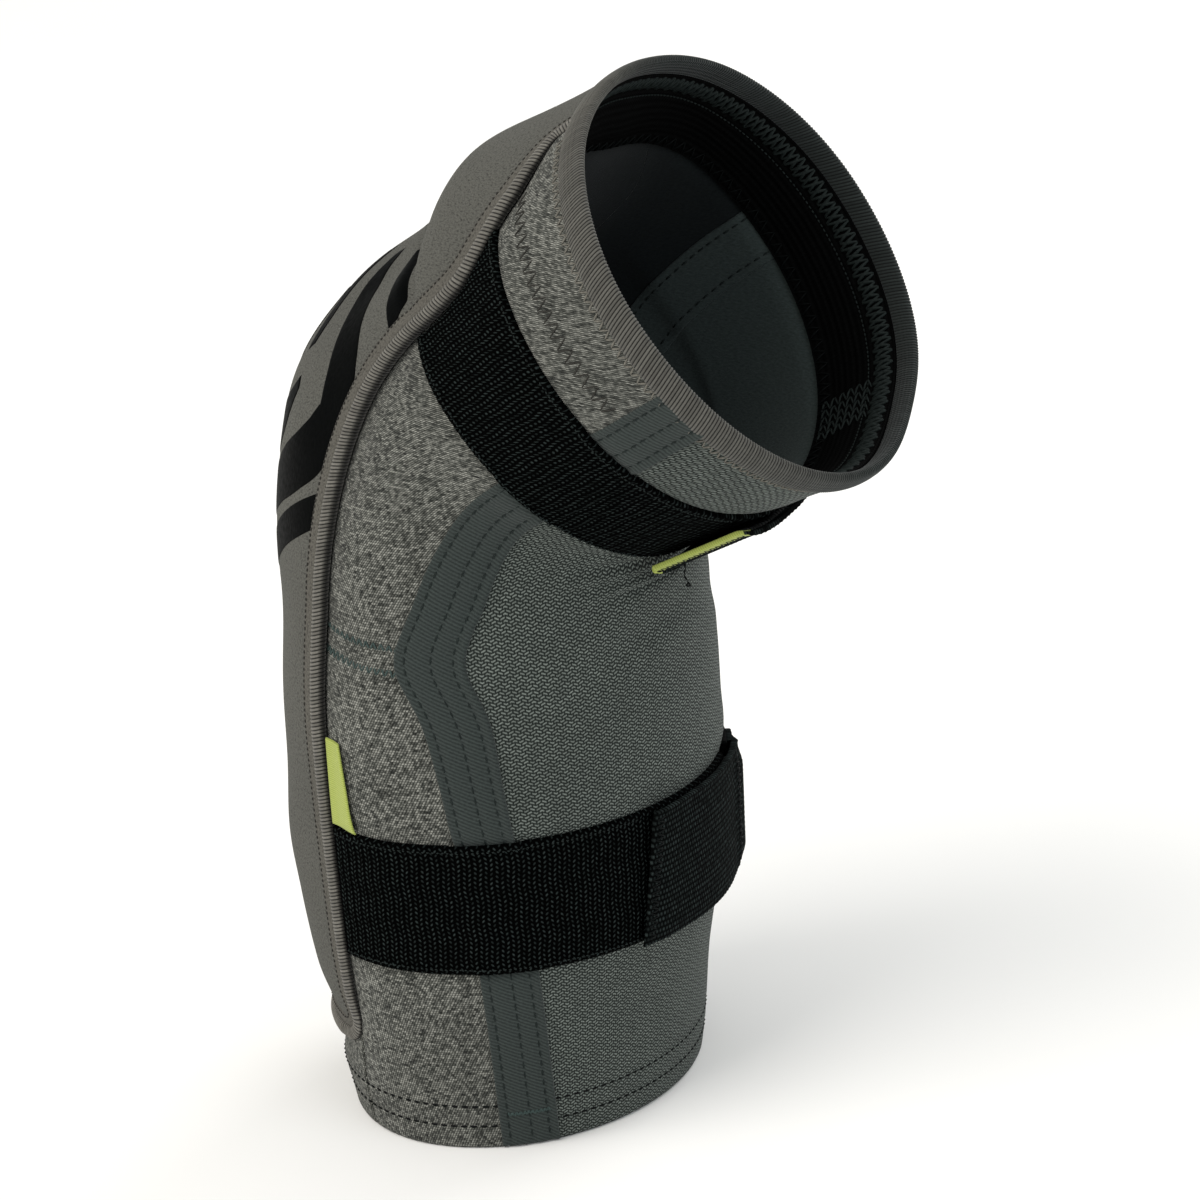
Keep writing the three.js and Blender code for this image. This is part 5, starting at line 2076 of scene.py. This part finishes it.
        tab = Patch(
            f"{name}_tab_webbing", low, high, self.tip_line, steady(self.hinge), tab_top, self.tab, 0.6, 0.3,
            relief=self.fine_rows, floor=self.tab_floor,
        ).build([self.finishes.webbing])
        settle(tab, self.tab_body, [f"{name}_hook_tab"])
        hooks = Patch(
            f"{name}_tab_hooks", low + 1.0, high - 1.0, lambda run: self.tip_line(run) + 2.0,
            steady(self.loop_end), raised(self.tab_floor, 0.05), 0.6, 0.8, 0.4,
            floor=raised(self.tab_floor, -self.hooks), inside=True,
        ).build([self.finishes.hooks])
        settle(hooks, self.tab_body, [f"{name}_hook_patch"])
        thread = Seam(1.5, 1.0, 0.45, 0.5)
        run = np.linspace(low + 1.4, high - 1.4, 60)
        ends = [self.tip_line(run) + 2.0, np.full_like(run, self.root - 3.4)]
        rows = [thread.zigzag(tab_top, run, at, 1.3) for at in ends]
        sew(f"{name}_tab_zigzags", rows, thread, self.finishes.dark_thread, self.tab_body)
        rows = [thread.zigzag(self.sewn_top, run, np.full_like(run, self.root + 7.5), 1.6)]
        sew(f"{name}_root_zigzag", rows, thread, self.finishes.dark_thread, self.body)
        if self.lime:
            end = Patch(
                f"{name}_lime_end", low + 0.2, high - 0.2, lambda run: self.tip_line(run) - 0.4,
                lambda run: self.tip_line(run) + FORM.degrees(2.6, run, self.tip), raised(tab_top, 0.12),
                1.0, 0.8, 0.3, floor=raised(self.tab_floor, -0.2),
            ).build([self.finishes.lime])
            settle(end, self.tab_body, [f"{name}_tab_lime_end"])
            root = FORM.place(low + 0.5, 171.0, tab_top(np.array(low + 0.5), np.array(171.0)) - 0.3)
            steps = np.array([
                (0, 0, 0.4), (0.3, -0.2, -1.2), (0, -0.4, -2.6), (0.6, -0.4, -4.0), (1.4, -0.3, -5.0),
                (0.3, -0.4, -5.3), (0.9, -0.5, -4.3),
            ]) * MM
            line = root + steps
            outward = np.tile([0.0, -1.0, 0.0], (len(line) - 1, 1))
            loose = [(line[:-1], line[1:], outward)]
            sew(
                f"{name}_loose_thread", loose, Seam(width=0.5, height=0.5), self.finishes.dark_thread,
                self.tab_body,
            )

    def build(self) -> None:
        """Builds the straps, then the tab."""
        self.straps()
        self.tab_pieces()


@dataclass
class FlagLabel:
    """The blank lime label, folded and caught in the pad's binding."""

    finishes: Finishes
    run: float = 75.0
    length: float = 20.0
    width: float = 8.6
    top_width: float = 5.2

    def face(self, run: Array, angle: Array) -> Array:
        """The label's face: it lies on the knit and lifts a little towards its free edge."""
        away = np.radians(turn(angle) - FORM.pad_edge(run)) * UV_RADIUS
        lift = 0.7 * smooth(away, 6.0, 12.0)
        over_binding = 0.5 * (1 - smooth(away, 3.0, 6.0))
        return FORM.skin(run, angle) + 0.9 + lift + over_binding

    @staticmethod
    def caught(run: Array) -> Array:
        """The label's edge in the binding."""
        return FORM.pad_edge(run) + FORM.degrees(3.3, run, PAD_EDGE_AT)

    def free(self, run: Array) -> Array:
        """The label's free edge: it is narrower at the top."""
        slope = (self.top_width - self.width) / self.length
        return self.caught(run) + FORM.degrees(self.width + slope * (run - self.run), run, 70.0)

    def build(self) -> None:
        """Makes the label."""
        label = Patch(
            "lime_flag", self.run, self.run + self.length, self.caught, self.free, self.face, 0.55, 0.7, 0.3,
        ).build([self.finishes.lime])
        settle(label, Body.FOREARM, ["flag_label"])


class Studio:
    """A pale floor, soft light from above and one side, and the camera."""

    azimuth = 27.17
    elevation = 18.27
    roll = -3.704
    distance = 1.0667
    aim = (0.005265, 0.0, 0.130)
    lens = 147.45
    shift = (-0.01004, -0.05668)
    floor_size = 8.0

    def camera(self) -> None:
        """Makes the camera: it looks back along the direction that its two angles give, rolled a little."""
        a, e, p = (math.radians(x) for x in (self.azimuth, self.elevation, self.roll))
        back = Vector((math.sin(a) * math.cos(e), -math.cos(a) * math.cos(e), math.sin(e)))
        right = Vector((math.cos(a), math.sin(a), 0.0))
        up = back.cross(right)
        right, up = right * math.cos(p) + up * math.sin(p), up * math.cos(p) - right * math.sin(p)
        data = bpy.data.cameras.new("camera")
        data.lens, data.sensor_width = self.lens, 36.0
        data.shift_x, data.shift_y = self.shift
        data.clip_start, data.clip_end = 0.05, 50.0
        camera = bpy.data.objects.new("camera", data)
        turned = Matrix((right, up, back)).transposed().to_4x4()
        turned.translation = Vector(self.aim) + back * self.distance
        camera.matrix_world = turned
        bpy.context.scene.collection.objects.link(camera)
        bpy.context.scene.camera = camera

    def lamp(self, name: str, place: tuple, size: float, power: float, colour: str) -> None:
        """Adds a square soft light that faces the middle of the guard.

        Args:
            name: its name.
            place: where it hangs, in metres.
            size: its side.
            power: its power in watts.
            colour: its colour.
        """
        data = bpy.data.lights.new(name, "AREA")
        data.size, data.energy = size, power
        data.color = linear(colour)[:3]
        lamp = bpy.data.objects.new(name, data)
        lamp.location = place
        lamp.rotation_euler = (Vector(self.aim) - Vector(place)).to_track_quat("-Z", "Y").to_euler()
        bpy.context.scene.collection.objects.link(lamp)

    def build(self) -> None:
        """Makes the camera, the lights, the pale surroundings and the floor."""
        self.camera()
        self.lamp("key", (-0.8, -1.4, 1.6), 1.7, 34.0, "#fffaf4")
        self.lamp("fill", (1.6, -0.6, 0.8), 1.2, 6.0, "#eef4ff")
        self.lamp("back", (0.5, 1.6, 1.2), 1.2, 14.0, "#ffffff")
        world = bpy.data.worlds.new("surroundings")
        world.use_nodes = True
        world.node_tree.nodes["Background"].inputs[0].default_value = linear("#f4f4f2")
        world.node_tree.nodes["Background"].inputs[1].default_value = 0.75
        bpy.context.scene.world = world
        bpy.context.scene.view_settings.view_transform = "Standard"
        mesh = bpy.data.meshes.new("floor")
        s = self.floor_size
        mesh.from_pydata([(-s, -s, 0), (s, -s, 0), (s, s, 0), (-s, s, 0)], [], [(0, 1, 2, 3)])
        floor = bpy.data.objects.new("floor", mesh)
        bpy.context.scene.collection.objects.link(floor)
        r = Recipe("pale_matt_floor")
        grain = r.add(NOISE, r.add(SOLID, out="Object"), None, 6.0, 2.0, 0.5)
        colour = r.add(MIX, grain, linear("#f6f6f4"), linear("#fbfbfa"))
        mesh.materials.append(r.finish(colour, 0.9))


def main() -> None:
    """Builds the guard's sub-assemblies in order, then the studio."""
    logging.basicConfig(level=logging.INFO, format="%(name)s %(message)s")
    finishes = Finishes()
    pad_form = PadForm()
    KnittedSleeve(finishes).build()
    SeamTapes(finishes).build()
    ElbowPad(finishes, pad_form).build()
    PadBinding(finishes, pad_form).build()
    Cuff(finishes).build()
    (low_start, low_end), (up_start, up_end) = FORM.strap_runs
    Strap(
        finishes, Level.LOWER, low_start, low_end - low_start, 153.5, 0.17, Body.FOREARM, Body.LOWER_TAB
    ).build()
    Strap(
        finishes, Level.UPPER, up_start, up_end - up_start, 157.0, 0.0, Body.UPPER_ARM, Body.UPPER_TAB,
        lime=True, lift=1.8, drop=2.0,
    ).build()
    FlagLabel(finishes).build()
    Studio().build()


if __name__ == "__main__":
    main()
